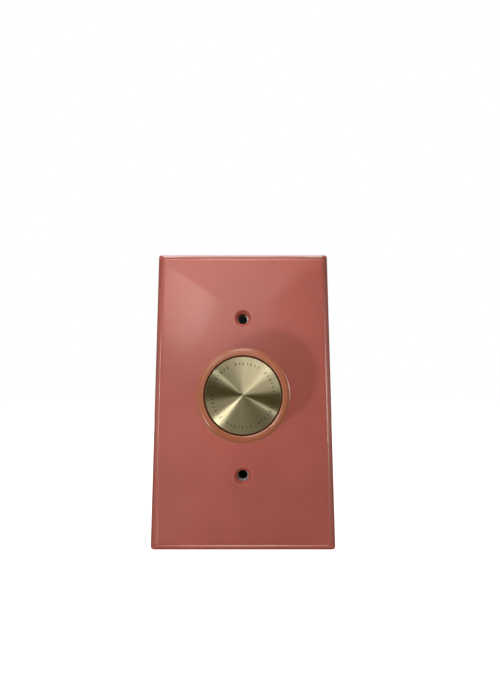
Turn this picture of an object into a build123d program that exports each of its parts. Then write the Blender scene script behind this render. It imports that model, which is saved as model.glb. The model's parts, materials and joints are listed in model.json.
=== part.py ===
from build123d import *

import math
import os

# Rotary wall dimmer with a push on/off knob and its matching single-gang wall plate.
#
# Frame, in millimetres: the origin is where the control's axis meets the wall, +X is to the
# right seen from the room, +Z is up and +Y runs into the wall. "depth" in this file is the
# distance in front of the wall, towards the room, so hidden parts have negative depths.

# ---- driving dimensions -------------------------------------------------------------------

# single-gang wall plate
PLATE_W = 69.85
PLATE_H = 114.3
PLATE_DEPTH = 5.6
PLATE_RIM = 1.3
PLATE_BEVEL = 2.4
PLATE_SKIN = 2.2
PLATE_CORNER = 1.2
PLATE_EDGE = 1.3
PLATE_SCREW_SPACING = 60.325
PLATE_HOLE_R = 2.2
PLATE_SINK_R = 3.45
PLATE_BOSS_R = 4.2
SLOT_W = 10.4
SLOT_H = 23.9

# wall box screws, number 6-32
BOX_SCREW_SPACING = 83.34
SCREW_MAJOR_R = 1.753
BOX_SCREW_LENGTH = 25.4

# mounting strap, which is also the heat sink
STRAP_T = 1.5
STRAP_H = 106.4
EAR_W = 27.0
PAN_W = 44.0
PAN_H = 71.0
PAN_SET_BACK = 2.0
STRAP_BACK = -PAN_SET_BACK
STRAP_FRONT = STRAP_BACK + STRAP_T
FLANGE_RISE = 2.6

# housing behind the strap
CASE_W = 42.0
CASE_H = 69.0
CASE_BACK = -32.2
CASE_WALL = 1.8
CASE_CORNER = 3.0
SCREW_WELL_R = 4.4
SCREW_WELL_FLOOR = -18.0
CASE_SCREW_X = 16.4
CASE_SCREW_Z = 30.3
CASE_SCREW_R = 1.45
RUN_GAP = 0.05

# knob and the disc set in its face
KNOB_R = 17.1
KNOB_BASE_R = 17.6
KNOB_BACK = 8.0
KNOB_FRONT = 23.4
KNOB_WALL = 2.1
DISC_R = 13.85
DISC_GAP = 0.45
DISC_SEAT_DEPTH = 1.1
DISC_T = 0.6
HUB_R = 5.6
FLUTES = 44

# shaft, bushing and push travel
PUSH_TRAVEL = 1.6
SHAFT_R = 3.175
SHAFT_FLAT = 1.575
SHAFT_FRONT = 20.2
DRIVE_R = 2.4
DRIVE_FLAT = 1.3
BUSHING_R = 4.76
BUSHING_FRONT = 3.0
THREAD_PITCH = 0.794
NUT_FLATS = 12.7
NUT_T = 2.4
WASHER_T = 0.5

# potentiometer
CAN_R = 12.0
CAN_WALL = 0.8
CAN_FRONT = -3.2
CAN_BACK = -12.1
ROTOR_R = 9.5
ROTOR_FRONT = -6.9
ROTOR_T = 2.4
TRACK_FRONT = -10.5
LUG_WIDTH_DEG = 20.0
STOP_WIDTH_DEG = 38.0
TURN_DEG = 300.0
REST_ANGLE_DEG = -120.0
STOP_ANGLE_DEG = -90.0

# push switch behind the potentiometer
SWITCH_W = 22.4
SWITCH_H = 16.0
SWITCH_WALL = 1.2
SWITCH_FRONT = -12.7
SWITCH_BACK = -26.8
SHELF_FRONT = -18.0
PLUNGER_FRONT = -12.95
PIVOT_DEPTH = -23.4
ROCKER_TILT_DEG = 8.0
CONTACT_X = 6.0
CONTACT_Z = 3.6

# circuit board, and how far legs stand out behind it
BOARD_FRONT = -27.0
BOARD_T = 1.6
BOARD_BACK = BOARD_FRONT - BOARD_T
BOARD_GAP = 0.4
SOLDER_TAIL = 0.8

os.makedirs("parts", exist_ok=True)


def front(depth):
    """The plane parallel to the wall at this depth, seen from the room: local x is X, local y is Z."""
    return Plane.XZ.offset(depth)


# Half sections of turned parts are drawn on this plane: local x is the radius, local y the depth.
TURNED = Plane(origin=(0, 0, 0), x_dir=(1, 0, 0), z_dir=(0, 0, -1))


def arc_point(radius, degrees):
    """A point on a circle round the control's axis, seen from the room."""
    angle = math.radians(degrees)
    return (radius * math.cos(angle), radius * math.sin(angle))


# ---- wall plate ---------------------------------------------------------------------------

PLATE_INSIDE = PLATE_DEPTH - PLATE_SKIN
BEVEL_DEG = math.degrees(math.atan2(PLATE_BEVEL, PLATE_DEPTH - PLATE_RIM))
HOLLOW_W = PLATE_W - 2 * PLATE_SKIN
HOLLOW_H = PLATE_H - 2 * PLATE_SKIN
BOSS_BACK = 0.2
RIB_T = 1.2
RIB_H = 1.4
CROSS_RIB_Z = 48.0
CROSS_RIB_LENGTH = 48.0
SIDE_RIB_X = 26.5
SIDE_RIB_LENGTH = 88.0
SLOT_CORNER = 0.8
SINK_ANGLE = 82

with BuildPart() as wall_plate:
    with BuildSketch(front(0)):
        Rectangle(PLATE_W, PLATE_H)
    extrude(amount=PLATE_RIM)
    with BuildSketch(front(PLATE_RIM)):
        Rectangle(PLATE_W, PLATE_H)
    extrude(amount=PLATE_DEPTH - PLATE_RIM, taper=BEVEL_DEG)
    # the upright corners and the sloping ones above them are the only edges not parallel to the wall
    corners = wall_plate.edges().filter_by(lambda edge: abs(edge.tangent_at(0.5).Y) > 0.3)
    fillet(corners, radius=PLATE_CORNER)
    fillet(wall_plate.faces().sort_by(Axis.Y)[0].edges(), radius=PLATE_EDGE)
    # the hollow that clears the strap
    with BuildSketch(front(0)):
        Rectangle(HOLLOW_W, HOLLOW_H)
    extrude(amount=PLATE_RIM, mode=Mode.SUBTRACT)
    with BuildSketch(front(PLATE_RIM)):
        Rectangle(HOLLOW_W, HOLLOW_H)
    extrude(amount=PLATE_INSIDE - PLATE_RIM, taper=BEVEL_DEG, mode=Mode.SUBTRACT)
    # screw bosses and stiffening ribs inside
    with BuildSketch(front(PLATE_INSIDE)):
        with GridLocations(0, PLATE_SCREW_SPACING, 1, 2):
            Circle(PLATE_BOSS_R)
    extrude(amount=-(PLATE_INSIDE - BOSS_BACK))
    with BuildSketch(front(PLATE_INSIDE)):
        with GridLocations(0, 2 * CROSS_RIB_Z, 1, 2):
            Rectangle(CROSS_RIB_LENGTH, RIB_T)
        with GridLocations(2 * SIDE_RIB_X, 0, 2, 1):
            Rectangle(RIB_T, SIDE_RIB_LENGTH)
    extrude(amount=-RIB_H)
    # openings
    with Locations(front(PLATE_DEPTH)):
        with GridLocations(0, PLATE_SCREW_SPACING, 1, 2):
            CounterSinkHole(PLATE_HOLE_R, PLATE_SINK_R, counter_sink_angle=SINK_ANGLE)
    with BuildSketch(front(PLATE_DEPTH)):
        RectangleRounded(SLOT_W, SLOT_H, SLOT_CORNER)
    extrude(amount=-PLATE_DEPTH, mode=Mode.SUBTRACT)

wall_plate.part.label = "wall_plate"
export_step(wall_plate.part, "parts/wall_plate.step")

# ---- mounting strap -----------------------------------------------------------------------

STEP_OUT = 37.6
STEP_IN = 35.8
LOBE_R = 5.5
EAR_NECK_W = EAR_W - 7
EAR_CORNER = 2.0
PAN_CORNER = 1.5
FLANGE_LENGTH = PAN_H - 6
BUSHING_HOLE_R = 4.9
BOX_SLOT_W = 7.2
BOX_SLOT_H = 3.9
RIVET_R = 1.5
TRIAC_X = -13.2
TRIAC_HOLE_Z = 24.2
GROUND_X = -9.0
GROUND_Z = -44.5

with BuildPart() as mounting_strap:
    # side view: two ears on the wall face and a pan set back between them
    with BuildSketch(Plane(origin=(0, 0, 0), x_dir=(0, -1, 0), z_dir=(-1, 0, 0))):
        with BuildLine():
            Polyline(
                (0, -STRAP_H / 2),
                (0, -STEP_OUT),
                (STRAP_BACK, -STEP_IN),
                (STRAP_BACK, STEP_IN),
                (0, STEP_OUT),
                (0, STRAP_H / 2),
                (STRAP_T, STRAP_H / 2),
                (STRAP_T, STEP_OUT - STRAP_T / 2),
                (STRAP_FRONT, STEP_IN - STRAP_T / 2),
                (STRAP_FRONT, -STEP_IN + STRAP_T / 2),
                (STRAP_T, -STEP_OUT + STRAP_T / 2),
                (STRAP_T, -STRAP_H / 2),
                close=True,
            )
        make_face()
    extrude(amount=PAN_W / 2, both=True)
    # outline seen from the room: wide pan, waisted ears with round lobes at their corners
    with BuildSketch(front(STRAP_BACK)):
        RectangleRounded(PAN_W, PAN_H, PAN_CORNER)
        RectangleRounded(EAR_NECK_W, STRAP_H, EAR_CORNER)
        with GridLocations(EAR_W - 2 * LOBE_R, STRAP_H - 2 * LOBE_R, 2, 2):
            Circle(LOBE_R)
        with GridLocations(0, STRAP_H - 2 * LOBE_R, 1, 2):
            Rectangle(EAR_W - 2 * LOBE_R, 2 * LOBE_R)
    extrude(amount=STRAP_T - STRAP_BACK, mode=Mode.INTERSECT)
    # long edges folded forward
    with BuildSketch(front(STRAP_FRONT)):
        with GridLocations(PAN_W - STRAP_T, 0, 2, 1):
            Rectangle(STRAP_T, FLANGE_LENGTH)
    extrude(amount=FLANGE_RISE)
    # holes
    with BuildSketch(front(STRAP_BACK)):
        Circle(BUSHING_HOLE_R)
        with GridLocations(0, PLATE_SCREW_SPACING, 1, 2):
            Circle(SCREW_MAJOR_R)
        with GridLocations(0, BOX_SCREW_SPACING, 1, 2):
            SlotOverall(BOX_SLOT_W, BOX_SLOT_H)
        with GridLocations(2 * CASE_SCREW_X, 2 * CASE_SCREW_Z, 2, 2):
            Circle(CASE_SCREW_R + RUN_GAP)
        with Locations((TRIAC_X, TRIAC_HOLE_Z), (GROUND_X, GROUND_Z)):
            Circle(RIVET_R + RUN_GAP)
    extrude(amount=STRAP_T - STRAP_BACK, mode=Mode.SUBTRACT)

mounting_strap.part.label = "mounting_strap"
export_step(mounting_strap.part, "parts/mounting_strap.step")

# ---- housing ------------------------------------------------------------------------------

BOSS_R = 3.1
LEAD_X = 10.0
LEAD_Z = -19.0
LEAD_R = 1.55
LEAD_HOLE_R = 1.7
CORE_R = 0.65
INSIDE_BACK = CASE_BACK + CASE_WALL
CASE_SCREW_TIP = -12.0
SCREW_END_GAP = 0.5
POST_X = 17.0
POST_Z = 25.4
POST_R = 1.2
CASE_EDGE = 1.0
VENTS = 5
VENT_PITCH = 6.0
VENT_Z = 17.0
VENT_LENGTH = 9.0
VENT_W = 2.2


def full_outline(shrink):
    """The housing seen from the back, less shrink on every side."""
    with BuildSketch() as outline:
        corner = max(CASE_CORNER - shrink, 0.5)
        RectangleRounded(CASE_W - 2 * shrink, CASE_H - 2 * shrink, corner)
    return outline.sketch


def case_outline(shrink):
    """The full outline with a notch in its top and bottom, where the plate screws come through."""
    with BuildSketch() as outline:
        add(full_outline(shrink))
        notch_r = SCREW_WELL_R + shrink
        with GridLocations(0, PLATE_SCREW_SPACING, 1, 2):
            Circle(notch_r, mode=Mode.SUBTRACT)
        with GridLocations(0, PLATE_SCREW_SPACING + CASE_H / 2, 1, 2):
            Rectangle(2 * notch_r, CASE_H / 2, mode=Mode.SUBTRACT)
    return outline.sketch


with BuildPart() as housing:
    # the notches stop at a floor, so behind it the box is a full rectangle
    with BuildSketch(front(CASE_BACK)):
        add(full_outline(0))
    extrude(amount=SCREW_WELL_FLOOR - CASE_BACK)
    fillet(housing.faces().sort_by(Axis.Y)[-1].edges(), radius=CASE_EDGE)
    with BuildSketch(front(SCREW_WELL_FLOOR)):
        add(case_outline(0))
    extrude(amount=STRAP_BACK - SCREW_WELL_FLOOR)
    with BuildSketch(front(INSIDE_BACK)):
        add(full_outline(CASE_WALL))
    extrude(amount=SCREW_WELL_FLOOR - CASE_WALL - INSIDE_BACK, mode=Mode.SUBTRACT)
    with BuildSketch(front(SCREW_WELL_FLOOR - CASE_WALL)):
        add(case_outline(CASE_WALL))
    extrude(amount=STRAP_BACK - SCREW_WELL_FLOOR + CASE_WALL, mode=Mode.SUBTRACT)
    # corner bosses for the screws that come through the strap
    with BuildSketch(front(INSIDE_BACK)):
        with GridLocations(2 * CASE_SCREW_X, 2 * CASE_SCREW_Z, 2, 2):
            Circle(BOSS_R)
    extrude(amount=STRAP_BACK - INSIDE_BACK)
    with BuildSketch(front(STRAP_BACK)):
        with GridLocations(2 * CASE_SCREW_X, 2 * CASE_SCREW_Z, 2, 2):
            Circle(CASE_SCREW_R + RUN_GAP)
    extrude(amount=CASE_SCREW_TIP - SCREW_END_GAP - STRAP_BACK, mode=Mode.SUBTRACT)
    # four posts that the circuit board rests on
    with BuildSketch(front(INSIDE_BACK)):
        with GridLocations(2 * POST_X, 2 * POST_Z, 2, 2):
            Circle(POST_R)
    extrude(amount=BOARD_BACK - INSIDE_BACK)
    # lead holes and a row of vents
    with BuildSketch(front(CASE_BACK)):
        with GridLocations(2 * LEAD_X, 0, 2, 1):
            with Locations((0, LEAD_Z)):
                Circle(LEAD_HOLE_R)
        with GridLocations(VENT_PITCH, 0, VENTS, 1):
            with Locations((0, VENT_Z)):
                SlotOverall(VENT_LENGTH, VENT_W, rotation=90)
    extrude(amount=CASE_WALL, mode=Mode.SUBTRACT)

housing.part.label = "housing"
export_step(housing.part, "parts/housing.step")

CASE_HEAD_R = 2.6
CASE_HEAD_H = 1.7
CASE_HEAD_EDGE = 0.7
RECESS_SPAN = 3.4
RECESS_W = 0.8
RECESS_DEPTH = 1.0

with BuildPart() as housing_screws:
    with BuildSketch(front(STRAP_FRONT)):
        with GridLocations(2 * CASE_SCREW_X, 2 * CASE_SCREW_Z, 2, 2):
            Circle(CASE_HEAD_R)
    extrude(amount=CASE_HEAD_H)
    fillet(housing_screws.faces().group_by(Axis.Y)[0].edges(), radius=CASE_HEAD_EDGE)
    with BuildSketch(front(STRAP_FRONT)):
        with GridLocations(2 * CASE_SCREW_X, 2 * CASE_SCREW_Z, 2, 2):
            Circle(CASE_SCREW_R)
    extrude(amount=CASE_SCREW_TIP - STRAP_FRONT)
    with BuildSketch(front(STRAP_FRONT + CASE_HEAD_H)):
        with GridLocations(2 * CASE_SCREW_X, 2 * CASE_SCREW_Z, 2, 2):
            Rectangle(RECESS_SPAN, RECESS_W)
            Rectangle(RECESS_W, RECESS_SPAN)
    extrude(amount=-RECESS_DEPTH, mode=Mode.SUBTRACT)

housing_screws.part.label = "housing_screws"
export_step(housing_screws.part, "parts/housing_screws.step")

# ---- wall box screws and their fibre retainers ----------------------------------------------

BOX_HEAD_R = 3.5
BOX_HEAD_H = 1.6
BOX_HEAD_EDGE = 0.8
BOX_TIP_CHAMFER = 0.5
BOX_NECK_R = 1.4
BOX_NECK_LENGTH = 2.4
DRIVER_SLOT_W = 1.0
DRIVER_SLOT_DEPTH = 0.9
RETAINER_W = 9.5
RETAINER_H = 7.0
RETAINER_T = 0.5
RETAINER_CORNER = 1.0

with BuildPart() as box_screws:
    with BuildSketch(front(STRAP_T)):
        with GridLocations(0, BOX_SCREW_SPACING, 1, 2):
            Circle(BOX_HEAD_R)
    extrude(amount=BOX_HEAD_H)
    fillet(box_screws.faces().group_by(Axis.Y)[0].edges(), radius=BOX_HEAD_EDGE)
    # a thin neck lets the retainer hold the screw loosely in the strap
    with BuildSketch(front(STRAP_T)):
        with GridLocations(0, BOX_SCREW_SPACING, 1, 2):
            Circle(BOX_NECK_R)
    extrude(amount=-BOX_NECK_LENGTH)
    with BuildSketch(front(STRAP_T - BOX_NECK_LENGTH)):
        with GridLocations(0, BOX_SCREW_SPACING, 1, 2):
            Circle(SCREW_MAJOR_R)
    extrude(amount=BOX_NECK_LENGTH - BOX_SCREW_LENGTH)
    chamfer(box_screws.faces().group_by(Axis.Y)[-1].edges(), length=BOX_TIP_CHAMFER)
    with BuildSketch(front(STRAP_T + BOX_HEAD_H)):
        with GridLocations(0, BOX_SCREW_SPACING, 1, 2):
            Rectangle(2 * BOX_HEAD_R, DRIVER_SLOT_W)
    extrude(amount=-DRIVER_SLOT_DEPTH, mode=Mode.SUBTRACT)

box_screws.part.label = "box_screws"
export_step(box_screws.part, "parts/box_screws.step")

with BuildPart() as screw_retainers:
    with BuildSketch(front(0)):
        with GridLocations(0, BOX_SCREW_SPACING, 1, 2):
            RectangleRounded(RETAINER_W, RETAINER_H, RETAINER_CORNER)
            Circle(BOX_NECK_R + RUN_GAP, mode=Mode.SUBTRACT)
    extrude(amount=-RETAINER_T)

screw_retainers.part.label = "screw_retainers"
export_step(screw_retainers.part, "parts/screw_retainers.step")

# ---- bushing, lock washer and nut -----------------------------------------------------------

THREAD_DEPTH = 0.3
THREAD_TURNS = 4
FIRST_THREAD = STRAP_FRONT + 0.35
SPIGOT_R = 4.0
BUSHING_FLANGE_R = 6.5
BUSHING_CHAMFER = 0.4
CAN_PLATE_BACK = CAN_FRONT - CAN_WALL

with BuildPart() as bushing:
    with BuildSketch(TURNED):
        with BuildLine():
            Polyline(
                (SHAFT_R + RUN_GAP, CAN_PLATE_BACK),
                (SPIGOT_R, CAN_PLATE_BACK),
                (SPIGOT_R, CAN_FRONT),
                (BUSHING_FLANGE_R, CAN_FRONT),
                (BUSHING_FLANGE_R, STRAP_BACK),
                (BUSHING_R, STRAP_BACK),
                (BUSHING_R, BUSHING_FRONT - BUSHING_CHAMFER),
                (BUSHING_R - BUSHING_CHAMFER, BUSHING_FRONT),
                (SHAFT_R + RUN_GAP, BUSHING_FRONT),
                close=True,
            )
        make_face()
        # thread grooves, cut as rings
        for turn in range(THREAD_TURNS):
            with Locations((BUSHING_R, FIRST_THREAD + turn * THREAD_PITCH)):
                Rectangle(2 * THREAD_DEPTH, THREAD_DEPTH, rotation=45, mode=Mode.SUBTRACT)
    revolve(axis=Axis.Y)

bushing.part.label = "bushing"
export_step(bushing.part, "parts/bushing.step")

WASHER_OUT_R = 7.2
WASHER_IN_R = 6.1
WASHER_TEETH = 10
TOOTH_R = 5.6
TOOTH_W = 1.7
TOOTH_LENGTH = 1.5
TOOTH_ANGLE = 75

with BuildPart() as lock_washer:
    with BuildSketch(front(STRAP_FRONT)):
        Circle(WASHER_OUT_R)
        Circle(WASHER_IN_R, mode=Mode.SUBTRACT)
        with PolarLocations(TOOTH_R, WASHER_TEETH):
            Trapezoid(TOOTH_W, TOOTH_LENGTH, TOOTH_ANGLE, rotation=90)
    extrude(amount=WASHER_T)

lock_washer.part.label = "lock_washer"
export_step(lock_washer.part, "parts/lock_washer.step")

NUT_BACK = STRAP_FRONT + WASHER_T
NUT_FRONT = NUT_BACK + NUT_T
NUT_CORNER_R = NUT_FLATS * 0.6
NUT_BEVEL = 0.9

with BuildPart() as bushing_nut:
    with BuildSketch(front(NUT_BACK)):
        RegularPolygon(NUT_FLATS / 2, 6, major_radius=False)
    extrude(amount=NUT_T)
    # the corners are turned down on the outer face
    with BuildSketch(TURNED):
        with BuildLine():
            Polyline(
                (0, NUT_BACK),
                (NUT_CORNER_R, NUT_BACK),
                (NUT_CORNER_R, NUT_FRONT - NUT_BEVEL),
                (NUT_FLATS / 2 - 0.2, NUT_FRONT),
                (0, NUT_FRONT),
                close=True,
            )
        make_face()
    revolve(axis=Axis.Y, mode=Mode.INTERSECT)
    with BuildSketch(front(NUT_BACK)):
        Circle(BUSHING_R + RUN_GAP)
    extrude(amount=NUT_T, mode=Mode.SUBTRACT)

bushing_nut.part.label = "bushing_nut"
export_step(bushing_nut.part, "parts/bushing_nut.step")

# ---- shaft and its retaining clip -----------------------------------------------------------

CLIP_T = 0.6
CLIP_R = 4.6
CLIP_MOUTH_W = 2.6
GROOVE_R = 2.5
GROOVE_FRONT = CAN_PLATE_BACK - 2 * RUN_GAP
GROOVE_BACK = GROOVE_FRONT - CLIP_T - 2 * RUN_GAP
COLLAR_BACK = GROOVE_BACK - 0.4
SHAFT_BACK = PLUNGER_FRONT + RUN_GAP
FLAT_BACK = 8.2
DRIVE_CHAMFER = 0.3
SHAFT_CHAMFER = 0.5


def d_section(radius, flat):
    """A round section with a flat on its right, for a shaft or the hole that fits it."""
    with BuildSketch() as section:
        Circle(radius)
        with Locations((flat + radius, 0)):
            Rectangle(2 * radius, 2 * radius, mode=Mode.SUBTRACT)
    return section.sketch


with BuildPart() as shaft:
    with BuildSketch(TURNED):
        with BuildLine():
            Polyline(
                (0, SHAFT_BACK),
                (DRIVE_R - DRIVE_CHAMFER, SHAFT_BACK),
                (DRIVE_R, SHAFT_BACK + DRIVE_CHAMFER),
                (DRIVE_R, COLLAR_BACK),
                (SHAFT_R, COLLAR_BACK),
                (SHAFT_R, GROOVE_BACK),
                (GROOVE_R, GROOVE_BACK),
                (GROOVE_R, GROOVE_FRONT),
                (SHAFT_R, GROOVE_FRONT),
                (SHAFT_R, SHAFT_FRONT - SHAFT_CHAMFER),
                (SHAFT_R - SHAFT_CHAMFER, SHAFT_FRONT),
                (0, SHAFT_FRONT),
                close=True,
            )
        make_face()
    revolve(axis=Axis.Y)
    # a flat for the knob in front and another that drives the wiper behind
    with BuildSketch(front(FLAT_BACK)):
        with Locations((SHAFT_FLAT + SHAFT_R, 0)):
            Rectangle(2 * SHAFT_R, 2 * SHAFT_R)
    extrude(amount=SHAFT_FRONT - FLAT_BACK, mode=Mode.SUBTRACT)
    with BuildSketch(front(SHAFT_BACK)):
        with Locations((DRIVE_FLAT + DRIVE_R, 0)):
            Rectangle(2 * DRIVE_R, 2 * DRIVE_R)
    extrude(amount=COLLAR_BACK - SHAFT_BACK, mode=Mode.SUBTRACT)

shaft.part.label = "shaft"
export_step(shaft.part, "parts/shaft.step")

with BuildPart() as shaft_clip:
    with BuildSketch(front(GROOVE_FRONT - RUN_GAP)):
        Circle(CLIP_R)
        Circle(GROOVE_R + RUN_GAP, mode=Mode.SUBTRACT)
        with Locations((0, -CLIP_R)):
            Rectangle(CLIP_MOUTH_W, 2 * CLIP_R - GROOVE_R, mode=Mode.SUBTRACT)
    extrude(amount=-CLIP_T)

shaft_clip.part.label = "shaft_clip"
export_step(shaft_clip.part, "parts/shaft_clip.step")

# ---- knob, its spring clip and the disc -----------------------------------------------------

DISC_SEAT = KNOB_FRONT - DISC_SEAT_DEPTH
WEB_T = 1.9
WEB_BACK = DISC_SEAT - WEB_T
KNOB_EDGE_R = 1.5
SEAT_EDGE_R = 0.25
FLUTE_R = 0.85
FLUTE_SET_OUT = 0.55
FLUTE_END = KNOB_FRONT - 3.2
HUB_BACK = KNOB_BACK + 0.6
RIBS = 6
RIB_FIRST_DEG = 30
KNOB_RIB_T = 1.3
LEAF_SPRING_T = 0.4
HUB_FLAT = SHAFT_FLAT + LEAF_SPRING_T + 2 * RUN_GAP
BORE_END = SHAFT_FRONT + 0.2
HOOK_SLOT_W = 1.2
HOOK_SLOT_H = 4.4
HOOK_SLOT_DEPTH = 2.0

with BuildPart() as knob:
    with BuildSketch(TURNED):
        with BuildLine():
            Polyline(
                (0, WEB_BACK),
                (KNOB_BASE_R - KNOB_WALL, WEB_BACK),
                (KNOB_BASE_R - KNOB_WALL, KNOB_BACK),
                (KNOB_BASE_R, KNOB_BACK),
                (KNOB_R, KNOB_FRONT),
                (DISC_R + DISC_GAP, KNOB_FRONT),
                (DISC_R + DISC_GAP, DISC_SEAT),
                (0, DISC_SEAT),
                close=True,
            )
        make_face()
    revolve(axis=Axis.Y)
    front_rims = knob.edges().filter_by(lambda edge: abs(edge.center().Y + KNOB_FRONT) < RUN_GAP)
    fillet(front_rims.sort_by(SortBy.RADIUS)[-1], radius=KNOB_EDGE_R)
    seat_rim = knob.edges().filter_by(lambda edge: abs(edge.center().Y + KNOB_FRONT) < RUN_GAP)
    fillet(seat_rim.sort_by(SortBy.RADIUS)[0], radius=SEAT_EDGE_R)
    # grip flutes round the side, ending below the rounded front edge
    with BuildSketch(front(KNOB_BACK)):
        with PolarLocations(KNOB_BASE_R + FLUTE_SET_OUT, FLUTES):
            Circle(FLUTE_R)
    extrude(amount=FLUTE_END - KNOB_BACK, mode=Mode.SUBTRACT)
    # hub, and ribs from it to the middle of the skirt's thickness
    rib_end = KNOB_R - KNOB_WALL / 2
    with BuildSketch(front(HUB_BACK)):
        Circle(HUB_R)
        with PolarLocations((HUB_R + rib_end) / 2, RIBS, start_angle=RIB_FIRST_DEG):
            Rectangle(rib_end - HUB_R + 1, KNOB_RIB_T)
    extrude(amount=WEB_BACK - HUB_BACK)
    with BuildSketch(front(HUB_BACK)):
        add(d_section(SHAFT_R + RUN_GAP, HUB_FLAT))
    extrude(amount=BORE_END - HUB_BACK, mode=Mode.SUBTRACT)
    # the slot that the leaf spring hooks into
    with BuildSketch(front(HUB_BACK)):
        with Locations((HUB_FLAT + HOOK_SLOT_W / 2, 0)):
            Rectangle(HOOK_SLOT_W, HOOK_SLOT_H)
    extrude(amount=HOOK_SLOT_DEPTH - HUB_BACK + KNOB_BACK, mode=Mode.SUBTRACT)

knob.part.label = "knob"
export_step(knob.part, "parts/knob.step")

LEAF_IN = SHAFT_FLAT + RUN_GAP
LEAF_OUT = LEAF_IN + LEAF_SPRING_T
LEAF_W = 3.8
LEAF_FRONT = SHAFT_FRONT - 1.5
HOOK_BACK = HUB_BACK - 0.1
HOOK_FRONT = HOOK_BACK + LEAF_SPRING_T
HOOK_OUT = HUB_FLAT + 0.9

with BuildPart() as knob_clip:
    # seen from above: a flat leaf along the shaft's flat with its back end hooked outwards
    with BuildSketch(TURNED):
        with BuildLine():
            Polyline(
                (LEAF_IN, LEAF_FRONT),
                (LEAF_IN, HOOK_BACK),
                (HOOK_OUT, HOOK_BACK),
                (HOOK_OUT, HOOK_FRONT),
                (LEAF_OUT, HOOK_FRONT),
                (LEAF_OUT, LEAF_FRONT),
                close=True,
            )
        make_face()
    extrude(amount=LEAF_W / 2, both=True)

knob_clip.part.label = "knob_clip"
export_step(knob_clip.part, "parts/knob_clip.step")

DISC_BACK = DISC_SEAT + 0.02
DISC_FRONT = DISC_BACK + DISC_T
DISC_BEVEL_W = 0.25
DISC_BEVEL_H = 0.15
TICK_R = 11.3
TICK_LENGTH = 1.0
TICK_W = 0.28
TICK_DEPTH = 0.08
TICK_GROUPS = 6
TICKS_IN_GROUP = 7
TICK_GROUP_DEG = 44.0

with BuildPart() as knob_disc:
    with BuildSketch(TURNED):
        with BuildLine():
            Polyline(
                (0, DISC_BACK),
                (DISC_R, DISC_BACK),
                (DISC_R, DISC_FRONT - DISC_BEVEL_H),
                (DISC_R - DISC_BEVEL_W, DISC_FRONT),
                (0, DISC_FRONT),
                close=True,
            )
        make_face()
    revolve(axis=Axis.Y)
    # engraved index marks in groups
    with BuildSketch(front(DISC_FRONT)):
        for group in range(TICK_GROUPS):
            first = group * 360 / TICK_GROUPS
            with PolarLocations(TICK_R, TICKS_IN_GROUP, first, TICK_GROUP_DEG, endpoint=True):
                Rectangle(TICK_LENGTH, TICK_W)
    extrude(amount=-TICK_DEPTH, mode=Mode.SUBTRACT)

knob_disc.part.label = "knob_disc"
export_step(knob_disc.part, "parts/knob_disc.step")

# ---- potentiometer --------------------------------------------------------------------------

CAN_EDGE = 0.6
TAB_T = 0.6
TAB_W = 5.0
SHORT_TAB_LENGTH = 3.2
HOOK_DEPTH = SWITCH_BACK + 4.6
HOOK_REACH = 0.5
STOP_IN_R = 9.9
LUG_OUT_R = 10.9


def ring_sector(inner_r, outer_r, middle_deg, width_deg):
    """A piece of a ring round the control's axis, seen from the room."""
    first_deg = middle_deg - width_deg / 2
    with BuildSketch() as sector:
        with BuildLine():
            inner_arc = CenterArc((0, 0), inner_r, first_deg, width_deg)
            outer_arc = CenterArc((0, 0), outer_r, first_deg, width_deg)
            Line(inner_arc @ 0, outer_arc @ 0)
            Line(inner_arc @ 1, outer_arc @ 1)
        make_face()
    return sector.sketch


with BuildPart() as pot_can:
    with BuildSketch(front(CAN_FRONT)):
        Circle(CAN_R)
    extrude(amount=CAN_BACK - CAN_FRONT)
    fillet(pot_can.faces().sort_by(Axis.Y)[0].edges(), radius=CAN_EDGE)
    with BuildSketch(front(CAN_PLATE_BACK)):
        Circle(CAN_R - CAN_WALL)
    extrude(amount=CAN_BACK - CAN_PLATE_BACK, mode=Mode.SUBTRACT)
    with BuildSketch(front(CAN_FRONT)):
        Circle(SPIGOT_R + RUN_GAP)
    extrude(amount=-CAN_WALL, mode=Mode.SUBTRACT)
    # rotation stop pressed in from the skirt, at the bottom
    with BuildSketch(front(ROTOR_FRONT)):
        add(ring_sector(STOP_IN_R, CAN_R - CAN_WALL / 2, STOP_ANGLE_DEG, STOP_WIDTH_DEG))
    extrude(amount=-ROTOR_T)
    # two short tabs fold over the track base, two long ones grip the switch body
    with BuildSketch(front(CAN_BACK)):
        with GridLocations(0, 2 * CAN_R - SHORT_TAB_LENGTH, 1, 2):
            Rectangle(TAB_W, SHORT_TAB_LENGTH)
        Circle(CAN_R, mode=Mode.INTERSECT)
    extrude(amount=-TAB_T)
    with BuildSketch(front(CAN_BACK)):
        with GridLocations(2 * CAN_R - CAN_WALL, 0, 2, 1):
            Rectangle(CAN_WALL, TAB_W)
    extrude(amount=HOOK_DEPTH - CAN_BACK)
    with BuildSketch(front(HOOK_DEPTH)):
        with GridLocations(2 * CAN_R - CAN_WALL - HOOK_REACH, 0, 2, 1):
            Rectangle(CAN_WALL + HOOK_REACH, TAB_W)
    extrude(amount=CAN_WALL)

pot_can.part.label = "pot_can"
export_step(pot_can.part, "parts/pot_can.step")

ROTOR_HUB_R = 3.2
ROTOR_HUB_BACK = TRACK_FRONT + 0.2

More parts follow.
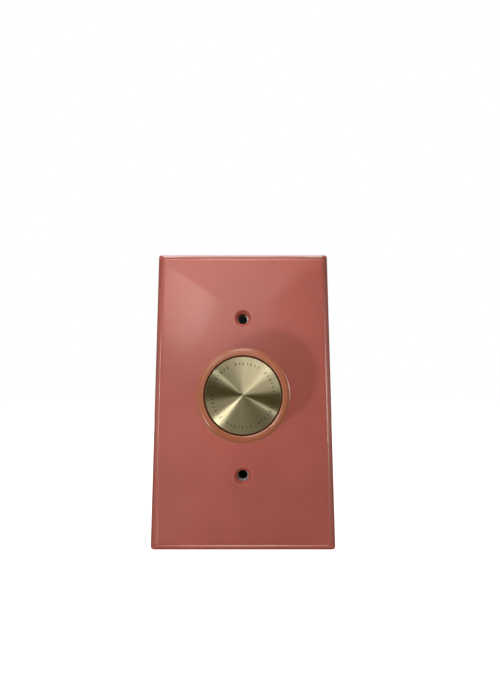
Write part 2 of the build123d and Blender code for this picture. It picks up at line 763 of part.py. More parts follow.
with BuildPart() as wiper_rotor:
    with BuildSketch(front(ROTOR_FRONT)):
        Circle(ROTOR_R)
    extrude(amount=-ROTOR_T)
    with BuildSketch(front(ROTOR_FRONT)):
        Circle(ROTOR_HUB_R)
    extrude(amount=ROTOR_HUB_BACK - ROTOR_FRONT)
    # stop lug, at its resting place against the left of the stop
    with BuildSketch(front(ROTOR_FRONT)):
        add(ring_sector(ROTOR_R - 0.6, LUG_OUT_R, REST_ANGLE_DEG, LUG_WIDTH_DEG))
    extrude(amount=-ROTOR_T)
    with BuildSketch(front(ROTOR_FRONT)):
        add(d_section(DRIVE_R + RUN_GAP, DRIVE_FLAT + RUN_GAP))
    extrude(amount=ROTOR_HUB_BACK - ROTOR_FRONT, mode=Mode.SUBTRACT)

wiper_rotor.part.label = "wiper_rotor"
export_step(wiper_rotor.part, "parts/wiper_rotor.step")

TRACK_T = 0.1
TRACK_R = 7.5
TRACK_W = 2.0
COLLECTOR_R = 4.3
COLLECTOR_W = 1.0
ROTOR_BACK = ROTOR_FRONT - ROTOR_T
WIPER_T = 0.2
WIPER_RING_R = 5.4
FINGER_LENGTH = 4.2
FINGER_W = 2.4
FINGER_R = 6.4
WIPER_TIP_R = 0.5
WIPER_TIP = TRACK_FRONT + TRACK_T + RUN_GAP

with BuildPart() as wiper_contact:
    # a ring riveted to the rotor with one sprung finger out to the track
    with BuildSketch(front(ROTOR_BACK)):
        Circle(WIPER_RING_R)
        Circle(ROTOR_HUB_R + 0.1, mode=Mode.SUBTRACT)
        with Locations(Location((*arc_point(FINGER_R, REST_ANGLE_DEG), 0), (0, 0, REST_ANGLE_DEG))):
            Rectangle(FINGER_LENGTH, FINGER_W)
    extrude(amount=-WIPER_T)
    # the two tips, one over the carbon track and one over the collector ring
    with BuildSketch(front(ROTOR_BACK - WIPER_T)):
        with Locations(arc_point(TRACK_R, REST_ANGLE_DEG), arc_point(COLLECTOR_R, REST_ANGLE_DEG + 180)):
            Circle(WIPER_TIP_R)
    extrude(amount=WIPER_TIP - ROTOR_BACK + WIPER_T)

wiper_contact.part.label = "wiper_contact"
export_step(wiper_contact.part, "parts/wiper_contact.step")

TRACK_BASE_T = 1.6
TERMINAL_X = 5.0
TERMINAL_Z = -9.9
TERMINAL_W = 1.8
TERMINAL_H = 3.4
TERMINAL_T = 0.5
TRACK_MOUTH_W = 3.4
LEG_W = 0.9
LEG_T = 0.6

with BuildPart() as track_base:
    with BuildSketch(front(TRACK_FRONT)):
        Circle(CAN_R - CAN_WALL - RUN_GAP)
        Circle(DRIVE_R + 0.4, mode=Mode.SUBTRACT)
    extrude(amount=-TRACK_BASE_T)

track_base.part.label = "track_base"
export_step(track_base.part, "parts/track_base.step")

with BuildPart() as carbon_track:
    # horseshoe open at the bottom, where the stop is
    with BuildSketch(front(TRACK_FRONT + TRACK_T)):
        Circle(TRACK_R + TRACK_W / 2)
        Circle(TRACK_R - TRACK_W / 2, mode=Mode.SUBTRACT)
        with Locations((0, -TRACK_R)):
            Rectangle(TRACK_MOUTH_W, 2 * TRACK_W, mode=Mode.SUBTRACT)
    extrude(amount=-TRACK_T)

carbon_track.part.label = "carbon_track"
export_step(carbon_track.part, "parts/carbon_track.step")

with BuildPart() as collector_ring:
    with BuildSketch(front(TRACK_FRONT + TRACK_T)):
        Circle(COLLECTOR_R + COLLECTOR_W / 2)
        Circle(COLLECTOR_R - COLLECTOR_W / 2, mode=Mode.SUBTRACT)
    extrude(amount=-TRACK_T)

collector_ring.part.label = "collector_ring"
export_step(collector_ring.part, "parts/collector_ring.step")

with BuildPart() as pot_terminals:
    # two tabs on the back of the track base, with legs down to the circuit board
    with BuildSketch(front(CAN_BACK)):
        with GridLocations(2 * TERMINAL_X, 0, 2, 1):
            with Locations((0, TERMINAL_Z + 1.0)):
                Rectangle(TERMINAL_W, TERMINAL_H)
    extrude(amount=-TERMINAL_T)
    with BuildSketch(front(CAN_BACK)):
        with GridLocations(2 * TERMINAL_X, 0, 2, 1):
            with Locations((0, TERMINAL_Z)):
                Rectangle(LEG_W, LEG_T)
    extrude(amount=BOARD_BACK - SOLDER_TAIL - CAN_BACK)

pot_terminals.part.label = "pot_terminals"
export_step(pot_terminals.part, "parts/pot_terminals.step")

# ---- push switch ----------------------------------------------------------------------------

BODY_CORNER = 1.0
CHAMBER_GAP = 0.3
GROOVE_GAP = 0.2
PLUNGER_R = 2.9
PLUNGER_FLANGE_R = 4.6
PLUNGER_FLANGE_FRONT = SWITCH_FRONT - SWITCH_WALL - RUN_GAP
PLUNGER_FLANGE_T = 1.0
PLUNGER_TIP_R = 1.3
PLUNGER_TIP = -19.6
SHELF_T = 0.8
SHELF_HOLE_R = 1.5
PIVOT_R = 0.75

with BuildPart() as switch_body:
    with BuildSketch(front(SWITCH_FRONT)):
        RectangleRounded(SWITCH_W, SWITCH_H, BODY_CORNER)
    extrude(amount=SWITCH_BACK - SWITCH_FRONT)
    # spring chamber in front of the shelf, rocker chamber behind it
    with BuildSketch(front(SWITCH_FRONT - SWITCH_WALL)):
        Circle(PLUNGER_FLANGE_R + CHAMBER_GAP)
    extrude(amount=SHELF_FRONT - SWITCH_FRONT + SWITCH_WALL, mode=Mode.SUBTRACT)
    with BuildSketch(front(SHELF_FRONT - SHELF_T)):
        Rectangle(SWITCH_W - 2 * SWITCH_WALL, SWITCH_H - 2 * SWITCH_WALL)
    extrude(amount=SWITCH_BACK - SHELF_FRONT + SHELF_T, mode=Mode.SUBTRACT)
    with BuildSketch(front(SWITCH_FRONT)):
        Circle(PLUNGER_R + RUN_GAP)
    extrude(amount=-SWITCH_WALL, mode=Mode.SUBTRACT)
    with BuildSketch(front(SHELF_FRONT)):
        Circle(SHELF_HOLE_R)
    extrude(amount=-SHELF_T, mode=Mode.SUBTRACT)
    # bearing holes for the rocker's pin
    with BuildSketch(Plane.XY.offset(-SWITCH_H / 2)):
        with Locations((0, -PIVOT_DEPTH)):
            Circle(PIVOT_R + RUN_GAP)
    extrude(amount=SWITCH_H, mode=Mode.SUBTRACT)
    # grooves that the can's long tabs snap into
    with BuildSketch(front(HOOK_DEPTH - GROOVE_GAP)):
        with GridLocations(SWITCH_W, 0, 2, 1):
            Rectangle(2 * (HOOK_REACH + GROOVE_GAP), TAB_W + 2 * GROOVE_GAP)
    extrude(amount=CAN_WALL + 2 * GROOVE_GAP, mode=Mode.SUBTRACT)

switch_body.part.label = "switch_body"
export_step(switch_body.part, "parts/switch_body.step")

with BuildPart() as plunger:
    with BuildSketch(TURNED):
        with BuildLine():
            flange_back = PLUNGER_FLANGE_FRONT - PLUNGER_FLANGE_T
            outline = Polyline(
                (0, PLUNGER_TIP),
                (0, PLUNGER_FRONT),
                (PLUNGER_R, PLUNGER_FRONT),
                (PLUNGER_R, PLUNGER_FLANGE_FRONT),
                (PLUNGER_FLANGE_R, PLUNGER_FLANGE_FRONT),
                (PLUNGER_FLANGE_R, flange_back),
                (PLUNGER_TIP_R, flange_back),
                (PLUNGER_TIP_R, PLUNGER_TIP + PLUNGER_TIP_R),
            )
            RadiusArc(outline @ 1, outline @ 0, PLUNGER_TIP_R)
        make_face()
    revolve(axis=Axis.Y)

plunger.part.label = "plunger"
export_step(plunger.part, "parts/plunger.step")

SPRING_WIRE_R = 0.22
SPRING_R = 3.3
SPRING_FRONT = PLUNGER_FLANGE_FRONT - PLUNGER_FLANGE_T - SPRING_WIRE_R - RUN_GAP
SPRING_BACK = SHELF_FRONT + SPRING_WIRE_R + RUN_GAP
SPRING_TURNS = 4

with BuildPart() as plunger_spring:
    with BuildLine() as coil:
        Helix(
            pitch=(SPRING_FRONT - SPRING_BACK) / SPRING_TURNS,
            height=SPRING_FRONT - SPRING_BACK,
            radius=SPRING_R,
            center=(0, -SPRING_BACK, 0),
            direction=(0, -1, 0),
        )
    with BuildSketch(Plane(origin=coil.line @ 0, z_dir=coil.line % 0)):
        Circle(SPRING_WIRE_R)
    sweep(path=coil.line, is_frenet=True)

plunger_spring.part.label = "plunger_spring"
export_step(plunger_spring.part, "parts/plunger_spring.step")

# The rocker is drawn square on and turned about its pin to the "off" side.
TILT = math.radians(ROCKER_TILT_DEG)
ROCKER_PLANE = Plane(
    origin=(0, -PIVOT_DEPTH, 0),
    x_dir=(math.cos(TILT), -math.sin(TILT), 0),
    z_dir=(0, 0, 1),
)
ROCKER_REACH = 7.2
ROCKER_T = 1.4
ROCKER_WIDTH = 9.0
ROCKER_HUB_R = 1.75
HORN_FOOT_IN = 0.6
HORN_IN = 1.0
HORN_TOP_IN = 2.6
HORN_TOP_OUT = 4.4
HORN_FOOT_OUT = 5.8
HORN_IN_RISE = 1.6
HORN_RISE = 3.7

with BuildPart() as rocker:
    with BuildSketch(ROCKER_PLANE.offset(-ROCKER_WIDTH / 2)):
        Rectangle(2 * ROCKER_REACH, ROCKER_T)
        Circle(ROCKER_HUB_R)
        for side in (-1, 1):
            with BuildLine():
                Polyline(
                    (side * HORN_FOOT_IN, 0),
                    (side * HORN_IN, -HORN_IN_RISE),
                    (side * HORN_TOP_IN, -HORN_RISE),
                    (side * HORN_TOP_OUT, -HORN_RISE),
                    (side * HORN_FOOT_OUT, 0),
                    close=True,
                )
            make_face()
        Circle(PIVOT_R + RUN_GAP, mode=Mode.SUBTRACT)
    extrude(amount=ROCKER_WIDTH)

rocker.part.label = "rocker"
export_step(rocker.part, "parts/rocker.step")

PIN_LENGTH = SWITCH_H - 0.4
PIN_CHAMFER = 0.2

with BuildPart() as rocker_pin:
    with BuildSketch(Plane.XY.offset(-PIN_LENGTH / 2)):
        with Locations((0, -PIVOT_DEPTH)):
            Circle(PIVOT_R)
    extrude(amount=PIN_LENGTH)
    chamfer(rocker_pin.edges().filter_by(GeomType.CIRCLE), length=PIN_CHAMFER)

rocker_pin.part.label = "rocker_pin"
export_step(rocker_pin.part, "parts/rocker_pin.step")

BRIDGE_T = 0.4
BRIDGE_W = 2.2
BRIDGE_END = 1.4
BRIDGE_DOME_H = 0.5
DOME_R = 1.0
DOME_TAPER = 25
BRIDGE_BACK = ROCKER_T / 2 + BRIDGE_T

with BuildPart() as contact_bridge:
    with BuildSketch(ROCKER_PLANE.offset(-CONTACT_Z - BRIDGE_END)):
        with Locations((CONTACT_X, ROCKER_T / 2 + BRIDGE_T / 2)):
            Rectangle(BRIDGE_W, BRIDGE_T)
    extrude(amount=2 * (CONTACT_Z + BRIDGE_END))
    for z in (-CONTACT_Z, CONTACT_Z):
        dome_origin = ROCKER_PLANE.from_local_coords(Vector(CONTACT_X, BRIDGE_BACK, z))
        with BuildSketch(Plane(origin=dome_origin, x_dir=(0, 0, 1), z_dir=ROCKER_PLANE.y_dir)):
            Circle(DOME_R)
        extrude(amount=BRIDGE_DOME_H, taper=DOME_TAPER)

contact_bridge.part.label = "contact_bridge"
export_step(contact_bridge.part, "parts/contact_bridge.step")

# closed height of the bridge's domes, when the rocker has turned through both tilts
CLOSED_DEPTH = PIVOT_DEPTH - (
    (CONTACT_X + DOME_R) * math.sin(TILT) + (BRIDGE_BACK + BRIDGE_DOME_H) * math.cos(TILT)
)
CONTACT_GAP = 0.06
FIXED_T = 0.4
FIXED_FRONT = BOARD_FRONT + FIXED_T
FIXED_W = 4.4
FIXED_H = 3.0
FIXED_LEG_X = CONTACT_X + 1.8
FIXED_LEG_R = 0.45

with BuildPart() as fixed_contacts:
    with BuildSketch(front(BOARD_FRONT)):
        with GridLocations(0, 2 * CONTACT_Z, 1, 2):
            with Locations((CONTACT_X + 0.4, 0)):
                Rectangle(FIXED_W, FIXED_H)
    extrude(amount=FIXED_T)
    with BuildSketch(front(FIXED_FRONT)):
        with GridLocations(0, 2 * CONTACT_Z, 1, 2):
            with Locations((CONTACT_X - 0.2, 0)):
                Circle(DOME_R)
    extrude(amount=CLOSED_DEPTH - CONTACT_GAP - FIXED_FRONT)
    with BuildSketch(front(BOARD_FRONT)):
        with GridLocations(0, 2 * CONTACT_Z, 1, 2):
            with Locations((FIXED_LEG_X, 0)):
                Circle(FIXED_LEG_R)
    extrude(amount=-BOARD_T - SOLDER_TAIL)

fixed_contacts.part.label = "fixed_contacts"
export_step(fixed_contacts.part, "parts/fixed_contacts.step")

# ---- triac and the parts that fix it to the strap -------------------------------------------

MICA_T = 0.15
TAB_FRONT = STRAP_BACK - MICA_T
MICA_MARGIN = 0.6
TRIAC_TAB_T = 1.3
TRIAC_TAB_H = 15.4
TRIAC_W = 10.0
TRIAC_BOTTOM = 11.2
TRIAC_TAB_Z = TRIAC_BOTTOM + TRIAC_TAB_H / 2
TRIAC_BODY_W = TRIAC_W + 0.2
TRIAC_BODY_H = 9.0
TRIAC_BODY_FRONT = TAB_FRONT - 0.6
TRIAC_BODY_T = 3.9
TRIAC_LEG_W = 0.8
TRIAC_LEG_T = 0.5
TRIAC_LEG_FRONT = TAB_FRONT - 2.4
TRIAC_LEG_PITCH = 2.54
TRIAC_LEG_Z = 9.3
TRIAC_LEG_XS = [TRIAC_X + leg * TRIAC_LEG_PITCH for leg in (-1, 0, 1)]

with BuildPart() as triac_insulator:
    with BuildSketch(front(STRAP_BACK)):
        with Locations((TRIAC_X, TRIAC_TAB_Z)):
            Rectangle(TRIAC_W + 2 * MICA_MARGIN, TRIAC_TAB_H + 2 * MICA_MARGIN)
        with Locations((TRIAC_X, TRIAC_HOLE_Z)):
            Circle(RIVET_R + RUN_GAP, mode=Mode.SUBTRACT)
    extrude(amount=-MICA_T)

triac_insulator.part.label = "triac_insulator"
export_step(triac_insulator.part, "parts/triac_insulator.step")

with BuildPart() as triac:
    with BuildSketch(front(TAB_FRONT)):
        with Locations((TRIAC_X, TRIAC_TAB_Z)):
            Rectangle(TRIAC_W, TRIAC_TAB_H)
        with Locations((TRIAC_X, TRIAC_HOLE_Z)):
            Circle(RIVET_R + RUN_GAP, mode=Mode.SUBTRACT)
    extrude(amount=-TRIAC_TAB_T)
    with BuildSketch(front(TRIAC_BODY_FRONT)):
        with Locations((TRIAC_X, TRIAC_BOTTOM + TRIAC_BODY_H / 2)):
            Rectangle(TRIAC_BODY_W, TRIAC_BODY_H)
    extrude(amount=-TRIAC_BODY_T)
    # legs leave the bottom edge, then turn back to the board
    with BuildSketch(front(TRIAC_LEG_FRONT)):
        for leg_x in TRIAC_LEG_XS:
            with Locations((leg_x, (TRIAC_BOTTOM + TRIAC_LEG_Z) / 2)):
                Rectangle(TRIAC_LEG_W, TRIAC_BOTTOM - TRIAC_LEG_Z + TRIAC_LEG_T)
    extrude(amount=-TRIAC_LEG_T)
    with BuildSketch(front(TRIAC_LEG_FRONT)):
        for leg_x in TRIAC_LEG_XS:
            with Locations((leg_x, TRIAC_LEG_Z)):
                Rectangle(TRIAC_LEG_W, TRIAC_LEG_T)
    extrude(amount=BOARD_BACK - SOLDER_TAIL - TRIAC_LEG_FRONT)

triac.part.label = "triac"
export_step(triac.part, "parts/triac.step")

RIVET_HEAD_R = 3.0
RIVET_TOP_R = 1.95
RIVET_HEAD_H = 1.1
CLINCH_R = 2.5
CLINCH_END_R = 2.3
CLINCH_H = 0.8


def rivet(x, z, back):
    """A rivet through the strap at (x, z), clinched at depth back."""
    strap_face = STRAP_FRONT if abs(z) < STEP_IN else STRAP_T
    with BuildPart() as turned:
        with BuildSketch(Plane(origin=(x, 0, z), x_dir=(1, 0, 0), z_dir=(0, 0, -1))):
            with BuildLine():
                Polyline(
                    (0, back - CLINCH_H),
                    (CLINCH_END_R, back - CLINCH_H),
                    (CLINCH_R, back),
                    (RIVET_R, back),
                    (RIVET_R, strap_face),
                    (RIVET_HEAD_R, strap_face),
                    (RIVET_TOP_R, strap_face + RIVET_HEAD_H),
                    (0, strap_face + RIVET_HEAD_H),
                    close=True,
                )
            make_face()
        revolve(axis=Axis((x, 0, z), (0, 1, 0)))
    return turned.part


with BuildPart() as triac_rivet:
    add(rivet(TRIAC_X, TRIAC_HOLE_Z, TAB_FRONT - TRIAC_TAB_T))

triac_rivet.part.label = "triac_rivet"
export_step(triac_rivet.part, "parts/triac_rivet.step")

# ---- circuit board and its small parts --------------------------------------------------------

PAD_R = 0.35
LEG_GAP = 0.15
CAPACITOR_X = 13.0
CAPACITOR_ZS = (14.2, 21.4)
CAPACITOR_W = 10.6
CAPACITOR_T = 5.4
CAPACITOR_H = 11.0
CAPACITOR_EDGE = 0.5
CAPACITOR_LIFT = 0.2
CAPACITOR_LEG_XS = (CAPACITOR_X - 3.75, CAPACITOR_X + 3.75)
AXIAL_X = -12.4
AXIAL_SPAN = 10.4
AXIAL_LEG_XS = (AXIAL_X - AXIAL_SPAN / 2, AXIAL_X + AXIAL_SPAN / 2)
RESISTOR_ZS = (18.6, 23.4)
RESISTOR_R = 1.25
RESISTOR_LENGTH = 6.4
RESISTOR_LIFT = 1.6
DIAC_Z = 13.8
DIAC_R = 0.95
DIAC_LENGTH = 3.8
DIAC_LIFT = 1.3
CHOKE_Z = -18.0
CHOKE_DEPTH = -21.4
CHOKE_CORE_R = 3.1
CHOKE_CORE_LENGTH = 26.0
CHOKE_CORE_CHAMFER = 0.4
CHOKE_LEG_XS = (-14.0, 14.0)
CHOKE_LEG_R = 0.5

# width, height and places of every leg that goes through the board
LEG_HOLES = [
    (TRIAC_LEG_W, TRIAC_LEG_T, [(x, TRIAC_LEG_Z) for x in TRIAC_LEG_XS]),
    (LEG_W, LEG_T, [(x, TERMINAL_Z) for x in (-TERMINAL_X, TERMINAL_X)]),
    (2 * FIXED_LEG_R, 2 * FIXED_LEG_R, [(FIXED_LEG_X, z) for z in (-CONTACT_Z, CONTACT_Z)]),
    (2 * PAD_R, 2 * PAD_R, [(x, z) for x in CAPACITOR_LEG_XS for z in CAPACITOR_ZS]),
    (2 * PAD_R, 2 * PAD_R, [(x, z) for x in AXIAL_LEG_XS for z in (*RESISTOR_ZS, DIAC_Z)]),
    (2 * CHOKE_LEG_R, 2 * CHOKE_LEG_R, [(x, CHOKE_Z) for x in CHOKE_LEG_XS]),
    (2 * CORE_R, 2 * CORE_R, [(-LEAD_X, LEAD_Z), (LEAD_X, LEAD_Z)]),
]

with BuildPart() as circuit_board:
    with BuildSketch(front(BOARD_FRONT)):
        add(case_outline(CASE_WALL + BOARD_GAP))
        with GridLocations(2 * CASE_SCREW_X, 2 * CASE_SCREW_Z, 2, 2):
            Circle(BOSS_R + BOARD_GAP, mode=Mode.SUBTRACT)
        for leg_width, leg_height, places in LEG_HOLES:
            with Locations(*places):
                SlotOverall(
                    leg_width + leg_height / 2 + 2 * LEG_GAP,
                    leg_height + 2 * LEG_GAP,
                    mode=Mode.SUBTRACT,
                )
    extrude(amount=-BOARD_T)

circuit_board.part.label = "circuit_board"
export_step(circuit_board.part, "parts/circuit_board.step")

with BuildPart() as film_capacitors:
    for z in CAPACITOR_ZS:
        with BuildSketch(front(BOARD_FRONT + CAPACITOR_LIFT)):
            with Locations((CAPACITOR_X, z)):
                RectangleRounded(CAPACITOR_W, CAPACITOR_T, CAPACITOR_EDGE)
        extrude(amount=CAPACITOR_H)
        with BuildSketch(front(BOARD_BACK - SOLDER_TAIL)):
            with Locations(*[(x, z) for x in CAPACITOR_LEG_XS]):
                Circle(PAD_R)
        extrude(amount=BOARD_T + SOLDER_TAIL + 2 * CAPACITOR_LIFT)
    fillet(film_capacitors.faces().group_by(Axis.Y)[0].edges(), radius=CAPACITOR_EDGE)

film_capacitors.part.label = "film_capacitors"
export_step(film_capacitors.part, "parts/film_capacitors.step")


def axial_part(z, body_r, body_length, lift):
    """An axial component lying along X above the board, with its two bent leads."""
    with BuildPart() as component:
        with BuildSketch(Plane.YZ.offset(AXIAL_X)):
            with Locations((-(BOARD_FRONT + lift), z)):
                Circle(body_r)
        extrude(amount=body_length / 2, both=True)
        with BuildSketch(Plane.YZ.offset(AXIAL_X)):
            with Locations((-(BOARD_FRONT + lift), z)):
                Circle(PAD_R)
        extrude(amount=AXIAL_SPAN / 2 + PAD_R, both=True)
        with BuildSketch(front(BOARD_BACK - SOLDER_TAIL)):
            with Locations(*[(x, z) for x in AXIAL_LEG_XS]):
                Circle(PAD_R)
        extrude(amount=BOARD_T + SOLDER_TAIL + lift)
    return component.part


with BuildPart() as resistors:
    for z in RESISTOR_ZS:
        add(axial_part(z, RESISTOR_R, RESISTOR_LENGTH, RESISTOR_LIFT))

resistors.part.label = "resistors"
export_step(resistors.part, "parts/resistors.step")

with BuildPart() as diac:
    add(axial_part(DIAC_Z, DIAC_R, DIAC_LENGTH, DIAC_LIFT))

diac.part.label = "diac"
export_step(diac.part, "parts/diac.step")

with BuildPart() as choke_core:
    with BuildSketch(Plane.YZ):
        with Locations((-CHOKE_DEPTH, CHOKE_Z)):
            Circle(CHOKE_CORE_R)
    extrude(amount=CHOKE_CORE_LENGTH / 2, both=True)
    chamfer(choke_core.edges().filter_by(GeomType.CIRCLE), length=CHOKE_CORE_CHAMFER)

choke_core.part.label = "choke_core"
export_step(choke_core.part, "parts/choke_core.step")

WIRE_R = 0.62
COIL_TURNS = 16
COIL_IN_R = CHOKE_CORE_R + 0.1
COIL_SLEEVE_LENGTH = (2 * COIL_TURNS - 1) * WIRE_R
LEAD_BEND_R = 0.8

with BuildPart() as choke_winding:
    # close-wound turns, drawn as touching rings on a thin sleeve, with an end lead at each side
    with BuildSketch(Plane(origin=(0, -CHOKE_DEPTH, CHOKE_Z), x_dir=(1, 0, 0), z_dir=(0, 0, 1))):
        with Locations((0, COIL_IN_R + WIRE_R)):
            Rectangle(COIL_SLEEVE_LENGTH, 2 * WIRE_R)
        with GridLocations(2 * WIRE_R, 0, COIL_TURNS, 1):
            with Locations((0, COIL_IN_R + 2 * WIRE_R)):
                Circle(WIRE_R)
    revolve(axis=Axis((0, -CHOKE_DEPTH, CHOKE_Z), (1, 0, 0)))
    wire_y = -CHOKE_DEPTH + COIL_IN_R + WIRE_R
    for leg_x in CHOKE_LEG_XS:
        coil_end_x = math.copysign((COIL_TURNS - 1) * WIRE_R, leg_x)
        with BuildLine() as end_lead:
            FilletPolyline(
                (coil_end_x, wire_y, CHOKE_Z),
                (leg_x, wire_y, CHOKE_Z),
                (leg_x, -BOARD_BACK + SOLDER_TAIL, CHOKE_Z),
                radius=LEAD_BEND_R,
            )
        with BuildSketch(Plane(origin=end_lead.line @ 0, z_dir=end_lead.line % 0)):
            Circle(CHOKE_LEG_R)
        sweep(path=end_lead.line)

choke_winding.part.label = "choke_winding"
export_step(choke_winding.part, "parts/choke_winding.step")

# ---- leads ------------------------------------------------------------------------------------

CORE_CLEARANCE = 0.02
STRIP_LENGTH = 11.0
LEAD_START_DEPTH = INSIDE_BACK + 0.1
LEAD_STRAIGHT_DEPTH = CASE_BACK - 3.0


def lead_path(side):
    """Course of a supply lead: straight out of the housing's back, then hanging down in a gentle curve."""
    with BuildLine() as path:
        Line((side * LEAD_X, -LEAD_START_DEPTH, LEAD_Z), (side * LEAD_X, -LEAD_STRAIGHT_DEPTH, LEAD_Z))
        Spline(
            (side * LEAD_X, -LEAD_STRAIGHT_DEPTH, LEAD_Z),
            (side * (LEAD_X + 1.5), -LEAD_STRAIGHT_DEPTH + 12, LEAD_Z - 7),
            (side * (LEAD_X + 1.0), -LEAD_STRAIGHT_DEPTH + 18, LEAD_Z - 26),
            tangents=((0, 1, 0), (-side * 0.1, 0.1, -1)),
        )
    return path.line


def insulation(path, outer_r, core_r):
    """A tube of insulation along a path, a hair larger inside than the core it covers."""
    with BuildPart() as tube:
        with BuildSketch(Plane(origin=path @ 0, z_dir=path % 0)):
            Circle(outer_r)
            Circle(core_r + CORE_CLEARANCE, mode=Mode.SUBTRACT)
        sweep(path=path)
    return tube.part


def bare_core(path, core_r, run_in):
    """The metal core along a path, reaching run_in before its start and stripped at its end."""
    with BuildPart() as core:
        with BuildSketch(Plane(origin=path @ 0, z_dir=path % 0)):
            Circle(core_r)
        sweep(path=path)
        with BuildSketch(Plane(origin=path @ 1, z_dir=path % 1)):
            Circle(core_r)
        extrude(amount=STRIP_LENGTH)
        with BuildSketch(Plane(origin=path @ 0, z_dir=path % 0)):
            Circle(core_r)
        extrude(amount=-run_in)
    return core.part


with BuildPart() as line_lead:
    add(insulation(lead_path(-1), LEAD_R, CORE_R))

line_lead.part.label = "line_lead"
export_step(line_lead.part, "parts/line_lead.step")

with BuildPart() as load_lead:
    add(insulation(lead_path(1), LEAD_R, CORE_R))

load_lead.part.label = "load_lead"
export_step(load_lead.part, "parts/load_lead.step")

with BuildPart() as lead_cores:
    for side in (-1, 1):
        add(bare_core(lead_path(side), CORE_R, LEAD_START_DEPTH - BOARD_BACK + SOLDER_TAIL))

lead_cores.part.label = "lead_cores"
export_step(lead_cores.part, "parts/lead_cores.step")

LUG_T = 0.8
LUG_R = 3.4
LUG_NECK_H = 3.0
LUG_BARREL = 4.0
LUG_BARREL_WALL = 0.8
LUG_FLOOR = 0.4
GROUND_LEAD_R = 1.3
GROUND_CORE_R = 0.55
BARREL_X = GROUND_X - 5.2

with BuildPart() as ground_lug:
    # ring on the back of the lower ear, with a barrel that takes the bare wire
    with BuildSketch(front(-LUG_T)):
        with Locations((GROUND_X, GROUND_Z)):
            Circle(LUG_R)
        with Locations(((GROUND_X + BARREL_X) / 2, GROUND_Z)):
            Rectangle(GROUND_X - BARREL_X, LUG_NECK_H)
        with Locations((GROUND_X, GROUND_Z)):
            Circle(RIVET_R + RUN_GAP, mode=Mode.SUBTRACT)
    extrude(amount=LUG_T)
    with BuildSketch(front(0)):
        with Locations((BARREL_X, GROUND_Z)):
            Circle(GROUND_CORE_R + LUG_BARREL_WALL)
    extrude(amount=-LUG_T - LUG_BARREL)
    with BuildSketch(front(-LUG_T - LUG_FLOOR)):
        with Locations((BARREL_X, GROUND_Z)):
            Circle(GROUND_CORE_R + CORE_CLEARANCE)
    extrude(amount=-LUG_BARREL, mode=Mode.SUBTRACT)

ground_lug.part.label = "ground_lug"
export_step(ground_lug.part, "parts/ground_lug.step")

with BuildPart() as ground_rivet:
    add(rivet(GROUND_X, GROUND_Z, -LUG_T))

ground_rivet.part.label = "ground_rivet"
export_step(ground_rivet.part, "parts/ground_rivet.step")

LEAD_TO_BARREL_GAP = 0.3
CORE_IN_BARREL = LEAD_TO_BARREL_GAP + LUG_BARREL - LUG_FLOOR - 0.3
GROUND_START = (BARREL_X, LUG_T + LUG_BARREL + LEAD_TO_BARREL_GAP, GROUND_Z)


def ground_path():
    """Course of the ground lead: back from the lug under the housing, then down at its end."""
    with BuildLine() as path:
        Spline(
            GROUND_START,
            (BARREL_X, 24, GROUND_Z + 2.5),
            (BARREL_X + 1.2, 44, GROUND_Z - 1.5),
            tangents=((0, 1, 0), (0.1, 1, -0.5)),
        )
    return path.line


with BuildPart() as ground_lead:
    add(insulation(ground_path(), GROUND_LEAD_R, GROUND_CORE_R))

ground_lead.part.label = "ground_lead"
export_step(ground_lead.part, "parts/ground_lead.step")

with BuildPart() as ground_core:
    add(bare_core(ground_path(), GROUND_CORE_R, CORE_IN_BARREL))

ground_core.part.label = "ground_core"
export_step(ground_core.part, "parts/ground_core.step")
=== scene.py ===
import json
import math

import bmesh
import bpy
from mathutils import Matrix, Vector

